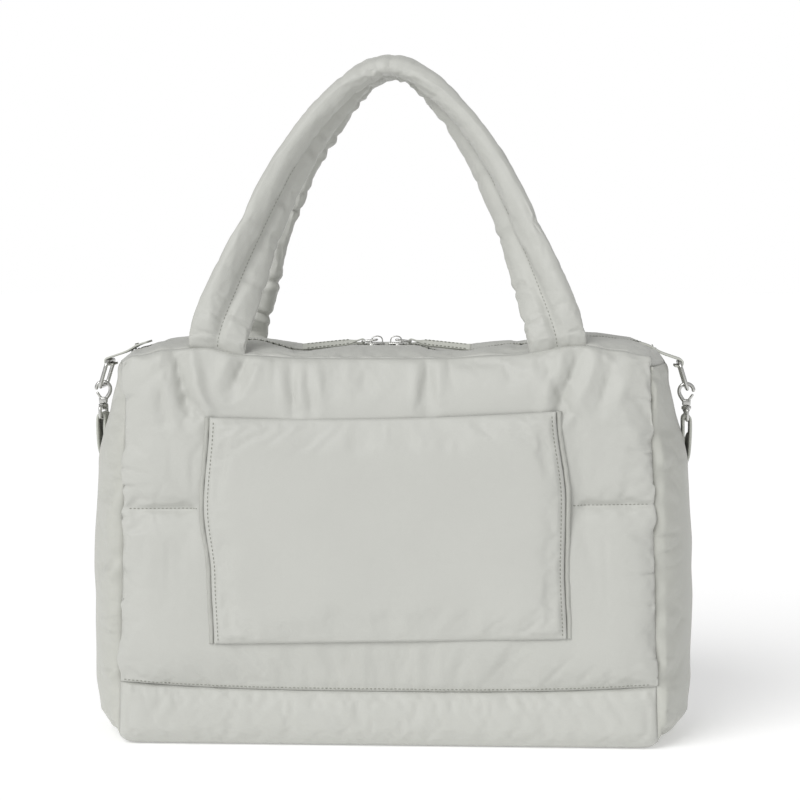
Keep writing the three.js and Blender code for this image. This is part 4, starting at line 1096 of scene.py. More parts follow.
class TOTE_OT_panels(Operator):
    """Padded front and back panels"""

    bl_idname = "tote.panels"
    bl_label = "Panels"

    def execute(self, context):
        self.panel(context, "front", -1, FRONT_PUFF, POCKET_WIDTH / 2 + 0.008, FRONT_FOLDS)
        self.panel(context, "back", 1, BACK_PUFF, -MID_START, [])
        return {"FINISHED"}

    def panel(self, context, word, side, puff, plateau, folds):
        sizes = context.scene.tote_sizes
        across = np.linspace(-1, 1, 121)[None, :]
        low, high = np.linspace(0, 1, 45)[:, None], np.linspace(0, 1, 37)[1:, None]
        bottom, top = base_seam(across) + CLEAR / 2, top_seam(across) - CLEAR / 2
        seam = MID_SEAM + MID_TILT * across / 2
        height = np.concatenate([bottom + (seam - bottom) * low, seam + (top - seam) * high])
        half = seam_half_width(height) - 0.75 * CLEAR
        x = across * half
        cell = swell(half - np.abs(x), PUFF_REACH) * swell(height - bottom, PUFF_REACH)
        cell = cell * swell(top - height, PUFF_REACH)
        stitched = ease((np.abs(x) - plateau) / MID_START)
        groove = 0.62 * stitched * (1 - swell(np.abs(height - seam), MID_REACH))
        out = puff * cell * (1 - groove) - fold_depth(x, height, folds) * swell(top - height, 0.012)
        uneven = 1 + 0.55 * cloth_noise(height / (0.85 * sizes.pucker_pitch), np.sign(x) * 3, 7 + side)
        roll_x = np.sign(x) * rolled(half - np.abs(x), SIDE_ROLL, ROLL_REACH) * uneven
        roll_z = rolled(top - height, TOP_ROLL, ROLL_REACH) - rolled(height - bottom, TOP_ROLL, ROLL_REACH)
        grid = np.stack([x + roll_x, side * (HALF_DEPTH + out), height + roll_z], -1)
        pinned = edge_pins(grid)
        pinned[44] = stitched[44] > 0.9
        grid = puffed(grid, pinned, sizes.cloth_pressure, sizes.cloth_spare, 0.005, inwards=side > 0)
        uv = np.stack([x, height], -1)
        fine, uv = refined(grid), refined(uv)
        x, height = uv[..., 0], uv[..., 1]
        bottom, top = base_seam(x / seam_half_width(height)), top_seam(x / seam_half_width(height))
        seam = MID_SEAM + MID_TILT * x / seam_half_width(height) / 2
        side_away = seam_half_width(height) - np.abs(x)
        seed = 10 if side < 0 else 60
        relief = seam_gathers(height, side_away, seed + (x > 0) * 5, sizes, 2.0)
        relief += seam_gathers(x, height - bottom, seed + 2, sizes, 0.7)
        relief += seam_gathers(x, top - height, seed + 3, sizes, 0.9)
        at_mid = ease((np.abs(x) - plateau) / MID_START)
        relief += seam_gathers(x, np.abs(height - seam), seed + 4, sizes, 0.8) * at_mid
        middle = swell(np.minimum(side_away, height - bottom), 0.03)
        relief += 0.0013 * soft_waves(x, height, 0.060, seed + 5) * middle
        border = np.minimum.reduce([side_away, height - bottom, top - height])
        normal = -side * grid_normals(fine)
        fine = fine + normal * (relief * np.clip(border / SEAM_FADE, 0, 1))[..., None]
        if side > 0:
            press_under_strap(fine)
        inner_x, inner_z = thinned(x), thinned(height)
        up = (inner_z - BASE_SEAM) / (SEAM_HEIGHT - BASE_SEAM)
        inner = thinned(fine)
        inner[..., 0] = inner_x - drawn_in(inner_x / seam_half_width(inner_z))
        inner[..., 1] = side * (HALF_DEPTH - 0.0035)
        inner[..., 2] = inner_z - drawn_in(np.clip(up, 0, 1))
        nylon = finishes(context)["nylon"]
        padded_piece(f"{word}_panel_cloth", fine, inner, uv, nylon, "nylon", f"{word}_panel")


class TOTE_OT_base(Operator):
    """Padded base band"""

    bl_idname = "tote.base"
    bl_label = "Base band"

    def execute(self, context):
        sizes = context.scene.tote_sizes
        across = np.linspace(-1, 1, 109)[:, None]
        seam = base_seam(across) - CLEAR / 2
        corner_top = BASE_PUFF + BASE_CORNER
        flat = HALF_DEPTH - BASE_CORNER
        upright = np.linspace(0, 1, 8)[None, :-1]
        turn = np.linspace(0, math.pi / 2, 9)[None, :]
        under = np.linspace(1, 0, 14)[None, 1:-1]
        ones = np.ones_like(across)
        half_y = np.concatenate([
            HALF_DEPTH * ones + 0 * upright, flat + BASE_CORNER * np.cos(turn) * ones, flat * under * ones,
        ], 1)
        half_z = np.concatenate([
            seam + (corner_top - seam) * upright, corner_top - BASE_CORNER * np.sin(turn) * ones,
            BASE_PUFF * ones + 0 * under,
        ], 1)
        normal_y = np.concatenate([ones + 0 * upright, np.cos(turn) * ones, 0 * under * ones], 1)
        normal_z = np.concatenate([0 * ones * upright, -np.sin(turn) * ones, -ones + 0 * under], 1)
        from_seam = np.concatenate([
            (seam - corner_top) * upright, seam - corner_top + BASE_CORNER * turn, 0.08 + 0 * under * ones,
        ], 1)

        def both(front, sign=1):
            middle = {1: front[:, -1:], -1: 0 * front[:, -1:]}[sign]
            return np.concatenate([sign * front, middle, front[:, ::-1]], 1)

        y, z = both(half_y, -1), both(half_z)
        normal_y, normal_z, from_seam = both(normal_y, -1), both(normal_z), both(from_seam)
        half = seam_half_width(z) - 0.75 * CLEAR
        x = across * half
        reach = PUFF_REACH * 0.5
        rise = BASE_PUFF * swell(half - np.abs(x), reach) * swell(from_seam, reach)
        grid = np.stack([x, y + normal_y * rise, z + normal_z * rise], -1)
        travelled = way_along(grid[len(grid) // 2])
        uv = np.stack([x, np.broadcast_to(travelled, x.shape)], -1)
        pinned = edge_pins(grid)
        pinned |= z < corner_top * 0.5
        grid = puffed(grid, pinned, sizes.cloth_pressure, sizes.cloth_spare, 0.003)
        fine, uv = refined(grid), refined(uv)
        away = refined(np.stack([from_seam, half - np.abs(x), normal_z], -1))
        relief = seam_gathers(uv[..., 0], away[..., 0], 30, sizes, 0.8)
        relief += seam_gathers(uv[..., 1], away[..., 1], 31, sizes, 0.9)
        relief += 0.0007 * soft_waves(uv[..., 0], uv[..., 1], 0.045, 32) * swell(away[..., 0], 0.02)
        facing = np.clip(1 + away[..., 2], 0, 1)
        border = np.minimum(away[..., 0], away[..., 1])
        relief = relief * facing * np.clip(border / SEAM_FADE, 0, 1)
        fine = fine + grid_normals(fine) * relief[..., None]
        fine[..., 2] = np.maximum(fine[..., 2], 0.0001)
        out = thinned(refined(np.stack([0 * normal_y, normal_y, normal_z], -1)))
        inner = thinned(fine) - out * SEAM_WALL * 1.6
        inner[..., 0] -= drawn_in(inner[..., 0] / seam_half_width(inner[..., 2]))
        nylon = finishes(context)["nylon"]
        padded_piece("base_band_cloth", fine, inner, uv, nylon, "nylon", "base_band")
        return {"FINISHED"}


class TOTE_OT_gussets(Operator):
    """Padded gussets that bulge at the sides"""

    bl_idname = "tote.gussets"
    bl_label = "Gussets"

    def execute(self, context):
        self.gusset(context, "left", -1)
        self.gusset(context, "right", 1)
        return {"FINISHED"}

    def gusset(self, context, word, side):
        sizes = context.scene.tote_sizes
        corner_top = BASE_PUFF + BASE_CORNER
        turn = np.linspace(math.pi / 2, 0, 9)[:-1, None]
        above = np.linspace(0, 1, 81)[:, None]
        top = END_HEIGHT - 2 * CLEAR
        corner_height = corner_top - BASE_CORNER * np.sin(turn)
        height = np.concatenate([corner_height, corner_top + (top - corner_top) * above])
        half_row = np.concatenate([HALF_DEPTH - BASE_CORNER * (1 - np.cos(turn)), HALF_DEPTH + 0 * above])
        depth_share = np.linspace(-1, 1, 49)[None, :]
        x = gusset_x(depth_share + 0 * height, height + 0 * depth_share)
        y = depth_share * (half_row - 0.75 * CLEAR)
        z = height + 0 * depth_share
        low_fade = ease((height - BASE_PUFF) / 0.03)
        uneven = 1 + 0.6 * cloth_noise(z / (0.85 * sizes.pucker_pitch), np.sign(y) * 3, 9 + side)
        y = y + np.sign(y) * rolled(half_row - np.abs(y), SIDE_ROLL, ROLL_REACH) * low_fade * uneven
        grid = np.stack([side * x, y, z], -1)
        pinned = edge_pins(grid)
        grid = puffed(grid, pinned, sizes.cloth_pressure, sizes.cloth_spare, 0.003, inwards=side < 0)
        uv = np.stack([depth_share * half_row, z], -1)
        fine, uv = refined(grid), refined(uv)
        half_rows = refined(np.repeat(half_row, 3, 1))[:, :1]
        side_away = half_rows - np.abs(uv[..., 0])
        rise = uv[..., 1]
        seed = 80 if side < 0 else 100
        relief = seam_gathers(rise, side_away, seed + (uv[..., 0] > 0) * 5, sizes, 2.8)
        relief += seam_gathers(uv[..., 0], rise - BASE_PUFF, seed + 2, sizes, 0.9)
        relief += seam_gathers(uv[..., 0], top - rise, seed + 3, sizes, 1.2)
        relief += 0.0016 * soft_waves(uv[..., 0] * 0.7, rise, 0.05, seed + 4) * swell(side_away, 0.03)
        border = np.minimum.reduce([side_away, rise - BASE_PUFF, top - rise])
        normal = grid_normals(fine) * side
        fine = fine + normal * (relief * np.clip(border / SEAM_FADE, 0, 1))[..., None]
        inner = thinned(fine)
        inner[..., 0] -= side * (0.003 + 0.005 * swell(thinned(border), PUFF_REACH))
        inner[..., 1] -= drawn_in(inner[..., 1] / HALF_DEPTH)
        inner[..., 2] -= drawn_in(np.clip((inner[..., 2] - BASE_PUFF) / (top - BASE_PUFF), 0, 1))
        inner[0, :, 2] += SEAM_WALL
        # The gussets take the darker, yellower nylon that paints their shade.
        nylon = finishes(context)["nylon_side"]
        padded_piece(f"gusset_{word}_cloth", fine, inner, uv, nylon, "nylon_side", f"gusset_{word}")


class TOTE_OT_top_strips(Operator):
    """Padded strips between the panels and the zipper"""

    bl_idname = "tote.top_strips"
    bl_label = "Top strips"

    def execute(self, context):
        self.strip(context, "front", -1)
        self.strip(context, "back", 1)
        return {"FINISHED"}

    def strip(self, context, word, side):
        sizes = context.scene.tote_sizes
        across = np.linspace(-1, 1, 121)[None, :]
        inwards = np.linspace(0, 1, 21)[:, None]
        depth = HALF_DEPTH + (ZIPPER_EDGE - HALF_DEPTH) * inwards
        x = across * (top_end_x(depth / HALF_DEPTH) - CLEAR * 0.35)
        width = HALF_DEPTH - ZIPPER_EDGE
        from_edge = np.minimum(inwards, 1 - inwards) * width
        at_end = swell(1 - np.abs(across), 0.12)
        seam, zipper = top_seam(across), zipper_height(across)
        gap = CLEAR * 0.35
        height = seam + (zipper - seam) * inwards + STRIP_PUFF * swell(from_edge, width / 2) * at_end + gap
        y = side * (depth - gap * (1 - inwards) ** 8) + 0 * across
        grid = np.stack([x, y, height], -1)
        pinned = edge_pins(grid)
        grid = puffed(grid, pinned, sizes.cloth_pressure * 0.5, sizes.cloth_spare, 0.0022, inwards=side > 0)
        uv = np.stack([x, y], -1)
        fine, uv = refined(grid), refined(uv)
        depth_here = np.abs(uv[..., 1])
        relief = seam_gathers(uv[..., 0], HALF_DEPTH - depth_here, 120 + side, sizes, 1.0)
        relief += seam_gathers(uv[..., 0], depth_here - ZIPPER_EDGE, 125 + side, sizes, 1.2)
        border = np.minimum(HALF_DEPTH - depth_here, depth_here - ZIPPER_EDGE)
        end_away = np.minimum(top_end_x(depth_here / HALF_DEPTH) - np.abs(uv[..., 0]), 0.03)
        relief *= np.clip(border / SEAM_FADE, 0, 1) * np.clip(end_away / 0.003, 0, 1)
        normal = -side * grid_normals(fine)
        fine = fine + normal * relief[..., None]
        inner = thinned(fine)
        inner[..., 2] -= SEAM_WALL + 0.002 * swell(thinned(border), 0.02)
        share = inner[..., 0] / top_end_x(np.abs(inner[..., 1]) / HALF_DEPTH)
        inner[..., 0] -= drawn_in(np.clip(share, -1, 1), 30)
        inner[0, :, 1] -= side * SEAM_WALL
        nylon = finishes(context)["nylon"]
        padded_piece(f"top_strip_{word}_cloth", fine, inner, uv, nylon, "nylon", f"top_strip_{word}")


def pocket_edge(up, rows):
    return POCKET_WIDTH / 2 * read_table(rows, up)


def pocket_height(x, up):
    dip = 0.02 * (1 - (2 * x / POCKET_WIDTH) ** 2) * ease(up)
    return POCKET_BOTTOM + POCKET_TILT * x / POCKET_WIDTH + POCKET_HEIGHT * (up - dip)


class TOTE_OT_pocket(Operator):
    """Padded slip pocket with bound side edges"""

    bl_idname = "tote.pocket"
    bl_label = "Pocket"

    def execute(self, context):
        sizes = context.scene.tote_sizes
        finish = finishes(context)
        up = np.linspace(0, 1, 53)[:, None]
        share = np.linspace(0, 1, 81)[None, :]
        left, right = pocket_edge(up, POCKET_LEFT) + 0.002, pocket_edge(up, POCKET_RIGHT) - 0.002
        x = left + (right - left) * share
        z = pocket_height(x, up + 0 * share)
        from_side = np.minimum(share, 1 - share) * POCKET_WIDTH + 0 * up
        from_end = np.minimum(up, 1 - up) * POCKET_HEIGHT + 0 * share
        rise = swell(from_side, PUFF_REACH * 0.75) * swell(from_end, PUFF_REACH * 0.6)
        inner_y = HALF_DEPTH + FRONT_PUFF + POCKET_SPACE
        y = -(inner_y + POCKET_EDGE * 0.55 + POCKET_PUFF * rise)
        grid = np.stack([x, y, z], -1)
        pinned = edge_pins(grid)
        pinned[:, 1] = pinned[:, -2] = True
        grid = puffed(grid, pinned, sizes.cloth_pressure * 0.6, sizes.cloth_spare, 0.002)
        uv = np.stack([x, z], -1)
        fine, uv = refined(grid), refined(uv)
        away = refined(np.stack([from_side, from_end], -1))
        relief = seam_gathers(uv[..., 1], away[..., 0], 140 + (uv[..., 0] > 0) * 5, sizes, 0.4)
        relief += seam_gathers(uv[..., 0], away[..., 1], 142, sizes, 0.2)
        relief += 0.0006 * soft_waves(uv[..., 0], uv[..., 1], 0.07, 143) * swell(away[..., 0], 0.03)
        border = np.minimum(away[..., 0], away[..., 1])
        seam_line = 0.0009 * np.exp(-(((away[..., 0] - 0.0030) / 0.0010) ** 2))
        relief = relief * np.clip(border / 0.003, 0, 1) - seam_line
        fine = fine + grid_normals(fine) * relief[..., None]
        inner = thinned(fine)
        inner[..., 1] = -inner_y
        padded_piece("pocket_cloth", fine, inner, uv, finish["nylon"], "nylon", "pocket_panel")
        radius = (POCKET_SPACE - 2 * CLEAR) / 2
        y = -(HALF_DEPTH + FRONT_PUFF + CLEAR + radius + BINDING_PROUD)
        for word, rows in (("left", POCKET_LEFT), ("right", POCKET_RIGHT)):
            ups = np.linspace(0, 1, 120)
            xs = pocket_edge(ups, rows)
            path = np.stack([xs, y + 0 * ups, pocket_height(xs, ups)], -1)
            path[:, 0] += 0.0002 * cloth_noise(ups * 26, ups * 0, 150)
            node = f"pocket_piping_{word}"
            tube_piece(f"pocket_binding_{word}", path, radius, finish["binding"], "binding", node, 16)
        return {"FINISHED"}


def handle_rings(side):
    """Rings of a handle from its left base to its right base, places across it and its way along."""
    base_x, base_y = HANDLE_SPREAD / 2, HALF_DEPTH + HANDLE_SEWN / 2 + CLEAR
    apex_y = HANDLE_WIDTH / 2 + CLEAR
    base_z = float(top_seam(base_x / seam_half_width(SEAM_HEIGHT)))
    legs = [(row, -1) for row in HANDLE_LEG] + [(row, 1) for row in HANDLE_LEG[-2::-1]]
    points = [
        (leg * row[0] * base_x, -(base_y + (apex_y - base_y) * row[2]), base_z + HANDLE_RISE * row[1])
        for row, leg in legs
    ]
    shares = np.linspace(0, 1, HANDLE_STEPS + 1)
    centres = smooth_line(points, shares)
    along = line_directions(points, shares, 1e-3)
    last = len(HANDLE_LEG) - 1
    row_place = last * (1 - np.abs(2 * shares - 1))
    twist = np.radians(np.interp(row_place, range(last + 1), [row[3] for row in HANDLE_LEG]))
    inward = unit(np.stack([along[:, 2], 0 * shares, -along[:, 0]], -1))
    front = unit(np.cross(inward, along))
    inward = np.cross(along, front)
    face = front * np.cos(twist)[:, None] + inward * np.sin(twist)[:, None]
    wide = np.cross(along, face)
    filled = ease((centres[:, 2] - base_z + 0.003) / (1.3 * HANDLE_THICKNESS))
    thick = HANDLE_SEWN + (HANDLE_THICKNESS - HANDLE_SEWN) * filled
    turn = np.arange(HANDLE_SIDES) * 2 * math.pi / HANDLE_SIDES
    across = np.sign(np.cos(turn)) * np.abs(np.cos(turn)) ** 0.85
    lobe = np.sqrt(np.clip(1 - ((np.abs(across) - 0.5) / 0.52) ** 2, 0, 1))
    lobe = lobe * np.clip((1 - np.abs(across)) / 0.06, 0, 1) ** 0.5 * np.sign(np.sin(turn))
    ring = centres[:, None] + wide[:, None] * (HANDLE_WIDTH / 2 * across)[None, :, None]
    ring = ring + face[:, None] * (thick[:, None] * LOBE_RISE * lobe[None, :])[..., None]
    for end in (0, -1):
        ring[end, :, 2] = top_seam(ring[end, :, 0] / seam_half_width(SEAM_HEIGHT)) + CLEAR
    rise = ring[..., 2] - top_seam(ring[..., 0] / seam_half_width(SEAM_HEIGHT))
    tucked = 1 - ease(rise / HANDLE_TUCK)
    ring[..., 1] += tucked * (HANDLE_SEWN + 2 * CLEAR)
    ring[..., 2] -= tucked * HANDLE_SEWN
    ring[..., 1] *= -side
    return ring, across, way_along(centres)


class TOTE_OT_handles(Operator):
    """Padded two-lobed handles with a stitched middle seam"""

    bl_idname = "tote.handles"
    bl_label = "Handles"

    def execute(self, context):
        self.handle(context, "front", -1)
        self.handle(context, "back", 1)
        return {"FINISHED"}

    def handle(self, context, word, side):
        sizes = context.scene.tote_sizes
        ring, across, travelled = handle_rings(side)
        middle = ring.mean(1, keepdims=True)
        pinned = np.zeros(ring.shape[:2], bool)
        pinned[:2] = pinned[-2:] = True
        pinned[:, np.abs(across) < 0.09] = True
        outward = (grid_normals(ring, True) * (ring - middle)).sum() > 0
        ring = puffed(
            ring, pinned, sizes.cloth_pressure * 0.6, sizes.cloth_spare, 0.0012,
            wraps=True, inwards=not outward,
        )
        fine = refined(ring, True)
        places = np.stack(np.broadcast_arrays(travelled[:, None], across[None, :]), -1)
        along, across = np.moveaxis(refined(places, True), -1, 0)
        total = travelled[-1]
        lobe_away = np.abs(across) * HANDLE_WIDTH / 2
        seed = 160 if side < 0 else 190
        which = (across > 0) * 7 + (np.arange(across.shape[1]) < across.shape[1] / 2)[None, :] * 3
        relief = seam_gathers(along, lobe_away, seed + which, sizes, 1.25)
        relief += 0.0006 * soft_waves(along, across * 0.03, 0.045, seed + 1)
        relief += 0.0003 * soft_waves(along, across * 0.05, 0.011, seed + 2)
        inner_edge = ease((across - 0.35) / 0.5)
        relief += inner_edge * seam_gathers(along, 0.003 + 0 * along, seed + 9, sizes, 1.1)
        for share, deep, half_width in HANDLE_CREASES:
            bend = share * total + 0.005 * cloth_noise(across * 1.7, across * 0 + share * 9, seed + 4)
            miss = (along - bend) / half_width
            strength = 0.5 + 0.5 * cloth_noise(across * 1.3, across * 0 + share * 17, seed + 5)
            crease = np.exp(-1.4 * np.abs(miss)) - 0.3 * np.exp(-((np.abs(miss) - 2.2) ** 2))
            relief -= 1.3 * deep * strength * crease * (0.25 + 0.75 * ease((across + 0.15) / 0.5))
        ends = np.clip(np.minimum(along, total - along) / 0.008, 0, 1)
        normal = grid_normals(fine, True) * (1 if outward else -1)
        fine = fine + normal * (relief * ends * np.clip(lobe_away / 0.0015, 0, 1))[..., None]
        rows, columns = fine.shape[:2]
        uv = np.stack([across * HANDLE_WIDTH / 2, along], -1)
        nylon = finishes(context)["nylon"]
        piece = make_piece(f"handle_{word}_cloth", fine, capped_tube(rows, columns), nylon, uv, outwards=True)
        dressed(piece, "nylon", f"handle_{word}")
        grooves = (columns // 4, 3 * columns // 4)
        runs = [(fine[2:-2, groove], normal[2:-2, groove]) for groove in grooves]
        stitched_piece(f"handle_{word}_stitches", runs, context)


class TOTE_OT_stitching(Operator):
    """Stitched lines of the panels, the base and the pocket"""

    bl_idname = "tote.stitching"
    bl_label = "Stitching"

    def execute(self, context):
        across = np.linspace(-0.985, 0.985, 260)
        base_x = across * seam_half_width(BASE_SEAM)
        base_z = base_seam(across) + BASE_STITCH_RISE
        runs = [self.line("front_panel_cloth", base_x, base_z)]
        for sign in (-1, 1):
            x = np.linspace(POCKET_WIDTH / 2 + 0.006, seam_half_width(MID_SEAM) - 0.002, 60) * sign
            runs.append(self.line("front_panel_cloth", x, MID_SEAM + MID_TILT * x / SEAM_WIDTH_BOTTOM))
        stitched_piece("front_panel_stitches", runs, context)
        x = across * seam_half_width(MID_SEAM)
        runs = [self.line("back_panel_cloth", x, MID_SEAM + MID_TILT * x / SEAM_WIDTH_BOTTOM, 1)]
        runs.append(self.line("back_panel_cloth", base_x, base_z, 1))
        stitched_piece("back_panel_stitches", runs, context)
        up = np.linspace(0.012, 0.985, 140)
        runs = []
        for rows, sign in ((POCKET_LEFT, 1), (POCKET_RIGHT, -1)):
            x = pocket_edge(up, rows) + sign * POCKET_STITCH_INSET
            runs.append(self.line("pocket_cloth", x, pocket_height(x, up)))
        stitched_piece("pocket_stitches", runs, context)
        return {"FINISHED"}

    def line(self, piece_name, x, z, side=-1):
        """A line laid on a piece from in front of the bag, or from behind it."""
        starts = [(across, side * FAR_OFF, up) for across, up in zip(x, z)]
        return laid_on(piece_name, starts, (0, -side, 0))


class TOTE_OT_zipper(Operator):
    """Zipper's coil, sliders and ribbon pulls"""

    bl_idname = "tote.zipper"
    bl_label = "Zipper"

    def execute(self, context):
        finish = finishes(context)
        for word in ("front", "back"):
            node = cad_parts[f"zipper_tape_{word}"]
            node.data.materials.clear()
            node.data.materials.append(finish["zipper_tape"])
        for word, side in (("left", -1), ("right", 1)):
            self.coil(context, finish, word, side)
            self.slider(finish, word, side)
            self.pull(context, finish, word, side)
        return {"FINISHED"}

    def coil(self, context, finish, word, side):
        pitch = context.scene.tote_sizes.coil_pitch
        end = top_end_x(0.0) - ZIPPER_END_INSET
        start = SLIDERS_APART / 2 + SLIDER_LENGTH * 0.22 + 2 * CLEAR
        first = side * (SLIDERS_MEET_X + side * start)
        count = int((end - first) / pitch)
        parts = []
        for number in range(count):
            x = side * (first + (number + 0.5) * pitch)
            z = float(zipper_height(x / top_end_x(0.0)))
            half, lift = COIL_WIDTH / 2, COIL_THICKNESS * 0.5
            lean = 0.28 * pitch * (1 if number % 2 else -1)
            path = [
                (x - lean, -half, z), (x - lean * 0.6, -half * 0.75, z + lift), (x, 0, z + lift * 1.15),
                (x + lean * 0.6, half * 0.75, z + lift), (x + lean, half, z),
            ]
            parts.append(tube_mesh(path, pitch * 0.3, 7, up=(0, 0, 1)))
        xs = side * np.linspace(first, end, 90)
        core = np.stack([xs, 0 * xs, zipper_height(xs / top_end_x(0.0)) - 0.0003], -1)
        parts.append(tube_mesh(core, COIL_WIDTH * 0.42, 10, flat=0.22, up=(0, 0, 1)))
        points, faces = joined_meshes(parts)
        piece = make_piece(f"coil_{word}", points, faces, finish["coil"], outwards=True)
        dressed(piece, "zipper_tape", f"zipper_coil_{word}")

    def seat(self, side):
        x = SLIDERS_MEET_X + side * (SLIDERS_APART + SLIDER_LENGTH) / 2
        return x, float(zipper_height(x / top_end_x(0.0)))

    def slider(self, finish, word, side):
        x, z = self.seat(side)
        mouth = COIL_THICKNESS / 2 + CLEAR
        half = SLIDER_LENGTH / 2
        parts = []
        for sign in (-1, 1):
            middle = sign * (mouth + SLIDER_PLATE / 2)
            points, faces = rounded_box((0, 0, middle), (SLIDER_LENGTH, SLIDER_WIDTH, SLIDER_PLATE), 0.0005)
            points = np.array(points)
            narrow = 1 - 0.34 * ease((half * 0.2 - points[:, 0]) / half)
            points[:, 1] *= narrow
            parts.append((points, faces))
        for sign in (-1, 1):
            wall_place = (half * 0.45, sign * (SLIDER_WIDTH / 2 - 0.0005), 0)
            parts.append(rounded_box(wall_place, (half, 0.0009, mouth * 2), 0.0003, 2))
        post_size = (SLIDER_LENGTH * 0.22, COIL_WIDTH * 0.8, 2 * mouth + 0.001)
        parts.append(rounded_box((-half * 0.78, 0, 0), post_size, 0.0004, 2))
        top = mouth + SLIDER_PLATE
        foot = (0.0042, 0, top - 0.0005)
        leg = [(0.0042, 0.45), (0.0032, 0.78), (0.0012, 0.92)]
        right = [foot] + [(out, 0, top + BAIL_HEIGHT * up) for out, up in leg]
        left = [(-out, y, up) for out, y, up in right]
        path = smooth_line(left + right[::-1], np.linspace(0, 1, 36))
        bail, bail_faces, _ = flat_band(path, (0, 1, 0), BAIL_THICKNESS, BAIL_BAND)
        parts.append((bail, bail_faces))
        points, faces = joined_meshes(parts)
        points[:, :2] *= side
        piece = make_piece(f"slider_{word}_metal", points + (x, 0, z), faces, finish["metal"], outwards=True)
        dressed(piece, "metal", f"slider_{word}")

    def pull(self, context, finish, word, side):
        x, z = self.seat(side)
        pivot_z = z + COIL_THICKNESS / 2 + CLEAR + SLIDER_PLATE + LINK_WIRE / 2 + BAIL_HOLE / 2 + CLEAR
        slope = math.radians(PULL_SLOPE)
        first = np.array([side * math.cos(slope), 0, -math.sin(slope)])
        rise = np.array([side * math.sin(slope), 0, math.cos(slope)])
        second = np.array([0, 1.0, 0])
        pivot = np.array([x, 0, pivot_z])
        width = RIBBON_WIDTH + 2 * (CLEAR + LINK_CORNER) + LINK_WIRE
        loop = rounded_loop(LINK_LENGTH - LINK_WIRE, width - LINK_WIRE, LINK_CORNER, first, second)
        centre = pivot + first * (LINK_LENGTH - LINK_WIRE) / 2
        tube_piece(
            f"pull_link_{word}_wire", loop + centre, LINK_WIRE / 2, finish["metal"], "metal",
            f"pull_link_{word}", 12, closed=True, body=f"pull_{word}", up=tuple(rise),
        )
        start = LINK_LENGTH - LINK_WIRE
        bend = LINK_WIRE / 2 + CLEAR + RIBBON_INSET
        half = RIBBON_THICKNESS / 2 - RIBBON_INSET
        upper = [
            (start + RIBBON_LENGTH - RIBBON_INSET, half), (start + RIBBON_LENGTH * 0.7, half * 0.9),
            (start + 0.006, half), (start + 0.0025, bend * 0.75),
        ]
        turns = np.radians([90, 130, 180, 230, 270])
        round_bar = [(start + bend * math.cos(turn), bend * math.sin(turn)) for turn in turns]
        lower = [(out, -lift) for out, lift in upper[::-1]]
        outline = [pivot + first * out + rise * lift for out, lift in upper + round_bar + lower]
        path = smooth_line(outline, np.linspace(0, 1, 90))
        tilt = RIBBON_TILT * ease(((path - pivot) @ first - start - 0.003) / 0.012)[:, None]
        axis = pivot + first * ((path - pivot) @ first)[:, None]
        lift = ((path - pivot) @ rise)[:, None]
        path = axis + lift * (rise * np.cos(tilt) + second * np.sin(tilt))
        wide = second * np.cos(tilt) - rise * np.sin(tilt)
        points, faces, uv = flat_band(path, wide, RIBBON_WIDTH, RIBBON_LAYER)
        piece = make_piece(
            f"pull_ribbon_{word}_tape", points, faces, finish["webbing"], uv,
            body=f"pull_{word}", outwards=True,
        )
        dressed(piece, "webbing", f"pull_ribbon_{word}")
        runs = []
        for offset in (-0.36, 0.36):
            parts = np.linspace(0.010, RIBBON_LENGTH - 0.003, 30)[:, None]
            tilt = RIBBON_TILT * ease((parts - 0.003) / 0.012)
            out = rise * np.cos(tilt) + second * np.sin(tilt)
            across = second * np.cos(tilt) - rise * np.sin(tilt)
            line = pivot + first * (start + parts) + out * RIBBON_THICKNESS / 2
            runs.append((line + across * offset * RIBBON_WIDTH, out))
        stitched_piece(f"pull_ribbon_{word}_stitches", runs, context, "webbing", f"pull_{word}")


def band_section(width, thickness):
    """Section of a flat band with rounded edges: across, out."""
    half, radius = width / 2, thickness / 2
    turns = np.linspace(-1.57, 1.57, 6)
    right = [(half - radius + radius * math.cos(turn), radius * math.sin(turn)) for turn in turns]
    upper = [(half * share, radius) for share in (0.6, 0.2, -0.2, -0.6)]
    return right + upper + [(-across, -out) for across, out in right + upper]


def flat_band(path, wide, width, thickness, face=None):
    """Points, faces and flat coordinates of a band along a path."""
    path = np.asarray(path, float)
    wide = np.broadcast_to(np.asarray(wide, float), path.shape)
    if face is None:
        face = unit(np.cross(wide, unit(np.gradient(path, axis=0))))
    section = np.array(band_section(width, thickness))
    points = path[:, None] + wide[:, None] * section[None, :, :1] + face[:, None] * section[None, :, 1:]
    uv = np.stack(np.broadcast_arrays(section[None, :, 0], way_along(path)[:, None]), -1)
    return points.reshape(-1, 3), capped_tube(len(path), len(section)), uv


HOOK_RADIUS = (HOOK_OPENING + HOOK_WIRE) / 2
HOOK_CENTRE = -(HOOK_OPENING / 2 - RING_WIRE / 2 - CLEAR)
BLOCK_TOP = HOOK_CENTRE - HOOK_SHANK + HOOK_BLOCK / 2
BLOCK_BOTTOM = BLOCK_TOP - HOOK_BLOCK
BLOCK_WIDTH = HOOK_WIRE * 2.2
BLOCK_DEPTH = GATE_WIRE + 2 * CLEAR + 0.0028
NECK = HOOK_WIRE * 0.6
EYE_TOP = BLOCK_BOTTOM - CLEAR - BOSS_HEIGHT / 2
EYE_BOTTOM = EYE_TOP - EYE_HEIGHT
TAB_BAR = np.array([top_end_x(0.0) + TAB_REACH, 0.0, END_HEIGHT - RING_WIRE / 2])
RING_LOW = TAB_BAR + np.array([RING_HEIGHT * math.sin(RING_LEAN), 0.0, -RING_HEIGHT * math.cos(RING_LEAN)])


def turned(points, side):
    """Points of the right side's hardware, turned half round for the left side."""
    return np.asarray(points, float) * (side, side, 1)


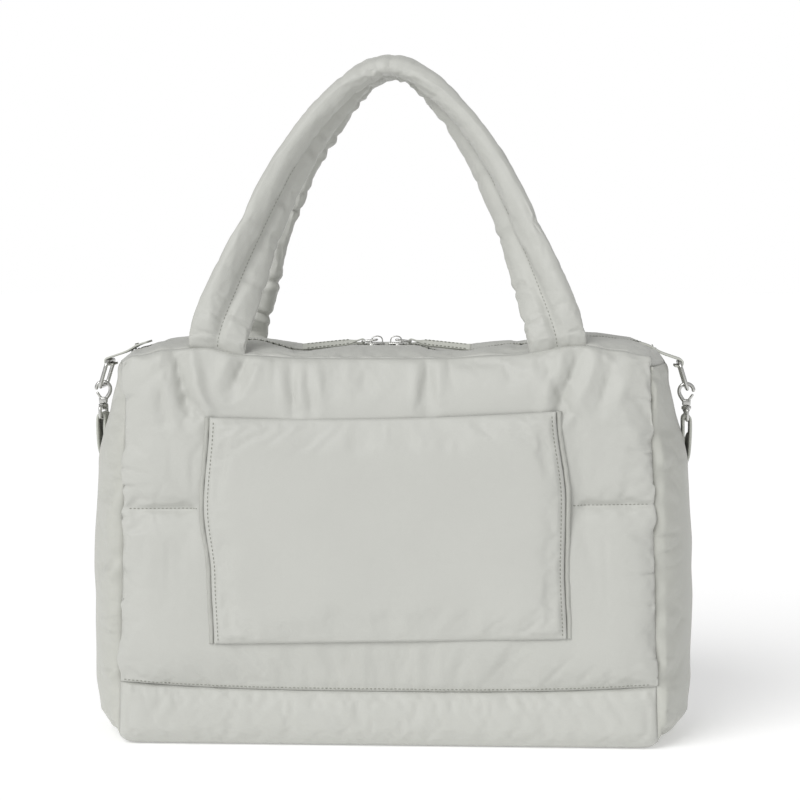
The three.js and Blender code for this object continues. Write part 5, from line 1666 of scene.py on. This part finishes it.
class TOTE_OT_hardware(Operator):
    """Side tabs, rings, snap hooks and swivel eyes"""

    bl_idname = "tote.hardware"
    bl_label = "Side hardware"

    def execute(self, context):
        finish = finishes(context)
        for word, side in (("left", -1), ("right", 1)):
            self.tab(context, finish, word, side)
            self.ring(finish, word, side)
            self.hook(finish, word, side)
            self.gate(finish, word, side)
            self.eye(finish, word, side)
        return {"FINISHED"}

    def tab(self, context, finish, word, side):
        bend = RING_WIRE / 2 + CLEAR + TAB_THICKNESS / 2
        end_x = top_end_x(0.0)
        rest = COIL_THICKNESS / 2 + TAB_REST + TAB_THICKNESS / 2
        path = [
            (end_x * share, 0, float(zipper_height(share)) + rest - sunk * TAB_REST)
            for share, sunk in ((0.905, 2), (0.945, 1), (0.985, 0))
        ]
        sewn_height = path[1][2] + TAB_THICKNESS * 0.45
        for turn in range(80, -91, -34):
            angle = math.radians(turn)
            path.append((TAB_BAR[0] + bend * math.cos(angle), 0, TAB_BAR[2] + bend * math.sin(angle)))
        path.append((TAB_BAR[0] - bend * 1.4, 0, TAB_BAR[2] - bend * 0.92))
        line = turned(smooth_line(path, np.linspace(0, 1, 48)), side)
        points, faces, uv = flat_band(line, (0, 1, 0), WEBBING_WIDTH, TAB_THICKNESS)
        piece = make_piece(f"tab_{word}_webbing", points, faces, finish["webbing"], uv, outwards=True)
        dressed(piece, "webbing", f"tab_{word}")
        sewn = turned([(end_x * 0.955, y, sewn_height) for y in np.linspace(-0.0105, 0.0105, 12)], side)
        stitched_piece(f"tab_{word}_stitches", [(sewn, [(0, 0, 1)] * len(sewn))], context, "webbing")

    def ring(self, finish, word, side):
        first = np.array([math.sin(RING_LEAN), 0, -math.cos(RING_LEAN)])
        width = WEBBING_WIDTH + 2 * (CLEAR + RING_CORNER)
        loop = rounded_loop(RING_HEIGHT, width, RING_CORNER, first, (0, 1, 0)) + (TAB_BAR + RING_LOW) / 2
        tube_piece(
            f"ring_{word}_wire", turned(loop, side), RING_WIRE / 2, finish["metal"], "metal", f"ring_{word}",
            16, closed=True, up=tuple(turned(np.cross(first, (0, 1, 0)), side)),
        )

    def hook(self, finish, word, side):
        bend = []
        for turn in np.arange(-8, 181, 23.5):
            angle = math.radians(turn)
            bend.append((HOOK_RADIUS * math.cos(angle), 0, HOOK_CENTRE + HOOK_RADIUS * math.sin(angle)))
        bend.append((-HOOK_RADIUS * 0.92, 0, HOOK_CENTRE - HOOK_RADIUS * 0.5))
        bend.append((-BLOCK_WIDTH * 0.3, 0, BLOCK_TOP - HOOK_WIRE / 2))
        path = smooth_line(bend, np.linspace(0, 1, 60))
        thick = np.full(60, HOOK_WIRE / 2)
        thick[:5] *= np.array([0.45, 0.75, 0.9, 0.97, 1.0])
        block_size = (BLOCK_WIDTH, BLOCK_DEPTH, HOOK_BLOCK)
        block = rounded_box((0, 0, (BLOCK_TOP + BLOCK_BOTTOM) / 2), block_size, 0.0011, 4)
        head = BLOCK_BOTTOM - BOSS_HEIGHT - 2 * CLEAR
        stud = lathe([
            (NECK + 0.0004, head - 0.0014), (NECK + 0.001, head - 0.001), (NECK + 0.001, head - 0.0001),
            (NECK, head), (NECK, BLOCK_BOTTOM + 0.0005),
        ])
        self.metal_piece(finish, word, side, "hook", [tube_mesh(path, thick, 16), block, stud])

    def metal_piece(self, finish, word, side, kind, parts, body="bag"):
        """One piece of the hardware that hangs in the ring."""
        points, faces = joined_meshes(parts)
        points = turned(points + RING_LOW, side)
        piece = make_piece(f"{kind}_{word}_metal", points, faces, finish["metal"], body=body, outwards=True)
        dressed(piece, "metal", f"{kind}_{word}")

    def gate(self, finish, word, side):
        root = np.array([BLOCK_WIDTH * 0.3, 0, BLOCK_TOP - GATE_WIRE * 0.3])
        tip = np.array([HOOK_RADIUS * 0.93, 0, HOOK_CENTRE - HOOK_RADIUS * 0.46])
        path = smooth_line([root, (root + tip) / 2, tip], np.linspace(0, 1, 14))
        thick = np.full(14, GATE_WIRE / 2)
        thick[-3:] *= np.array([0.97, 0.85, 0.5])
        pin, pin_faces = lathe([(0.0007, -BLOCK_DEPTH / 2), (0.0007, BLOCK_DEPTH / 2)], 14)
        parts = [tube_mesh(path, thick, 14), (pin[:, [0, 2, 1]] + root, pin_faces)]
        self.metal_piece(finish, word, side, "hook_gate", parts, f"gate_{word}")

    def eye(self, finish, word, side):
        width = WEBBING_WIDTH + 2 * (CLEAR + EYE_CORNER)
        loop = rounded_loop(EYE_HEIGHT, width, EYE_CORNER, (0, 0, -1), (0, 1, 0))
        loop[:, 2] += (EYE_TOP + EYE_BOTTOM) / 2
        wire = tube_mesh(loop, EYE_WIRE / 2, 14, closed=True, up=(1, 0, 0))
        bore, outer = NECK + CLEAR, NECK + 0.002
        half = BOSS_HEIGHT / 2
        profile = [
            (bore, -half), (outer - 0.0005, -half), (outer, -half + 0.0005), (outer, half - 0.0005),
            (outer - 0.0005, half), (bore, half),
        ]
        sides = 28
        turns = np.arange(sides) * 2 * math.pi / sides
        boss = [(r * math.cos(a), r * math.sin(a), h + EYE_TOP) for r, h in profile for a in turns]
        boss_faces = (grid_faces(len(profile) + 1, sides, True) % (len(profile) * sides)).tolist()
        self.metal_piece(finish, word, side, "swivel_eye", [wire, (boss, boss_faces)])


class TOTE_OT_strap(Operator):
    """Webbing shoulder strap from one eye round the back to the other"""

    bl_idname = "tote.strap"
    bl_label = "Shoulder strap"

    def execute(self, context):
        eye = RING_LOW + (0, 0, EYE_BOTTOM)
        bend = EYE_WIRE / 2 + CLEAR + STRAP_THICKNESS / 2
        rows = [((eye[0] - bend, 0, eye[2] - STRAP_TAIL * share), 180) for share in (1.0, 0.4)]
        for turn in range(180, -1, -36):
            angle = math.radians(turn)
            rows.append(((eye[0] + bend * math.cos(angle), 0, eye[2] + bend * math.sin(angle)), turn))
        rows.append(((eye[0] + bend * 1.1, 0, eye[2] - STRAP_TAIL * 0.4), 0))
        rows.append(((eye[0] + bend * 0.9, 0.0015, eye[2] - STRAP_TAIL * 0.9), 0))
        for back, down, off, turn in STRAP_SIDE:
            height = eye[2] - STRAP_TAIL - down * STRAP_SIDE_DROP
            beside = float(gusset_x(np.array(back), np.array(height)))
            x = max(beside, eye[0] - bend * 0.4 if back < 0.5 else 0) + STRAP_CLEAR * (1 + off)
            rows.append(((x, back * HALF_DEPTH + off * STRAP_CLEAR, height), turn))
        rows += strap_behind()
        rows += [((-place[0], place[1], place[2]), 180 - turn) for place, turn in rows[-2::-1]]
        shares = np.linspace(0, 1, 421)
        points = [place for place, _ in rows]
        centres = smooth_line(points, shares)
        along = line_directions(points, shares, 5e-4)
        row_turns = [turn for _, turn in rows]
        turns = np.radians(np.interp(shares * (len(rows) - 1), range(len(rows)), row_turns))
        face = np.stack([np.cos(turns), np.sin(turns), 0 * turns], -1)
        upright = (np.abs(along[:, 1]) < 0.02) & (np.abs(centres[:, 1]) < 0.001)
        face[upright] = np.stack([-along[:, 2], 0 * turns, along[:, 0]], -1)[upright]
        wide = unit(np.cross(along, face))
        face = np.cross(wide, along)
        points, faces, uv = flat_band(centres, wide, WEBBING_WIDTH, STRAP_THICKNESS, face)
        webbing = finishes(context)["webbing"]
        piece = make_piece("shoulder_strap_webbing", points, faces, webbing, uv, outwards=True)
        dressed(piece, "webbing", "shoulder_strap")
        return {"FINISHED"}


class TOTE_OT_trim(Operator):
    """Finish of the small trim that keeps its frame shape"""

    bl_idname = "tote.trim"
    bl_label = "Trim"

    def execute(self, context):
        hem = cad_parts["pocket_hem"]
        hem.data.materials.clear()
        hem.data.materials.append(finishes(context)["binding"])
        return {"FINISHED"}


OPERATORS = (
    TOTE_OT_studio, TOTE_OT_panels, TOTE_OT_base, TOTE_OT_gussets, TOTE_OT_top_strips, TOTE_OT_pocket,
    TOTE_OT_handles, TOTE_OT_stitching, TOTE_OT_zipper, TOTE_OT_hardware, TOTE_OT_strap, TOTE_OT_trim,
)


class VIEW3D_PT_tote(Panel):
    """Sidebar list of the tote's sizes, colours and pieces"""

    bl_idname = "VIEW3D_PT_tote"
    bl_label = "Puffer tote"
    bl_space_type = "VIEW_3D"
    bl_region_type = "UI"
    bl_category = "Tote"

    def draw(self, context):
        layout = self.layout
        for group in (context.scene.tote_sizes, context.scene.tote_colours):
            box = layout.box()
            for name in group.__annotations__:
                box.prop(group, name)
        for operator in OPERATORS:
            layout.operator(operator.bl_idname)


CLASSES = (ToteSizes, ToteColours, *OPERATORS, VIEW3D_PT_tote)


def register():
    for item in CLASSES:
        bpy.utils.register_class(item)
    bpy.types.Scene.tote_sizes = PointerProperty(type=ToteSizes)
    bpy.types.Scene.tote_colours = PointerProperty(type=ToteColours)


def unregister():
    del bpy.types.Scene.tote_colours
    del bpy.types.Scene.tote_sizes
    for item in reversed(CLASSES):
        bpy.utils.unregister_class(item)


def main():
    register()
    bpy.ops.tote.studio()
    bpy.ops.tote.panels()
    bpy.ops.tote.base()
    bpy.ops.tote.gussets()
    bpy.ops.tote.top_strips()
    bpy.ops.tote.pocket()
    bpy.ops.tote.handles()
    bpy.ops.tote.stitching()
    bpy.ops.tote.zipper()
    bpy.ops.tote.hardware()
    bpy.ops.tote.strap()
    bpy.ops.tote.trim()
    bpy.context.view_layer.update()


if __name__ == "__main__":
    main()
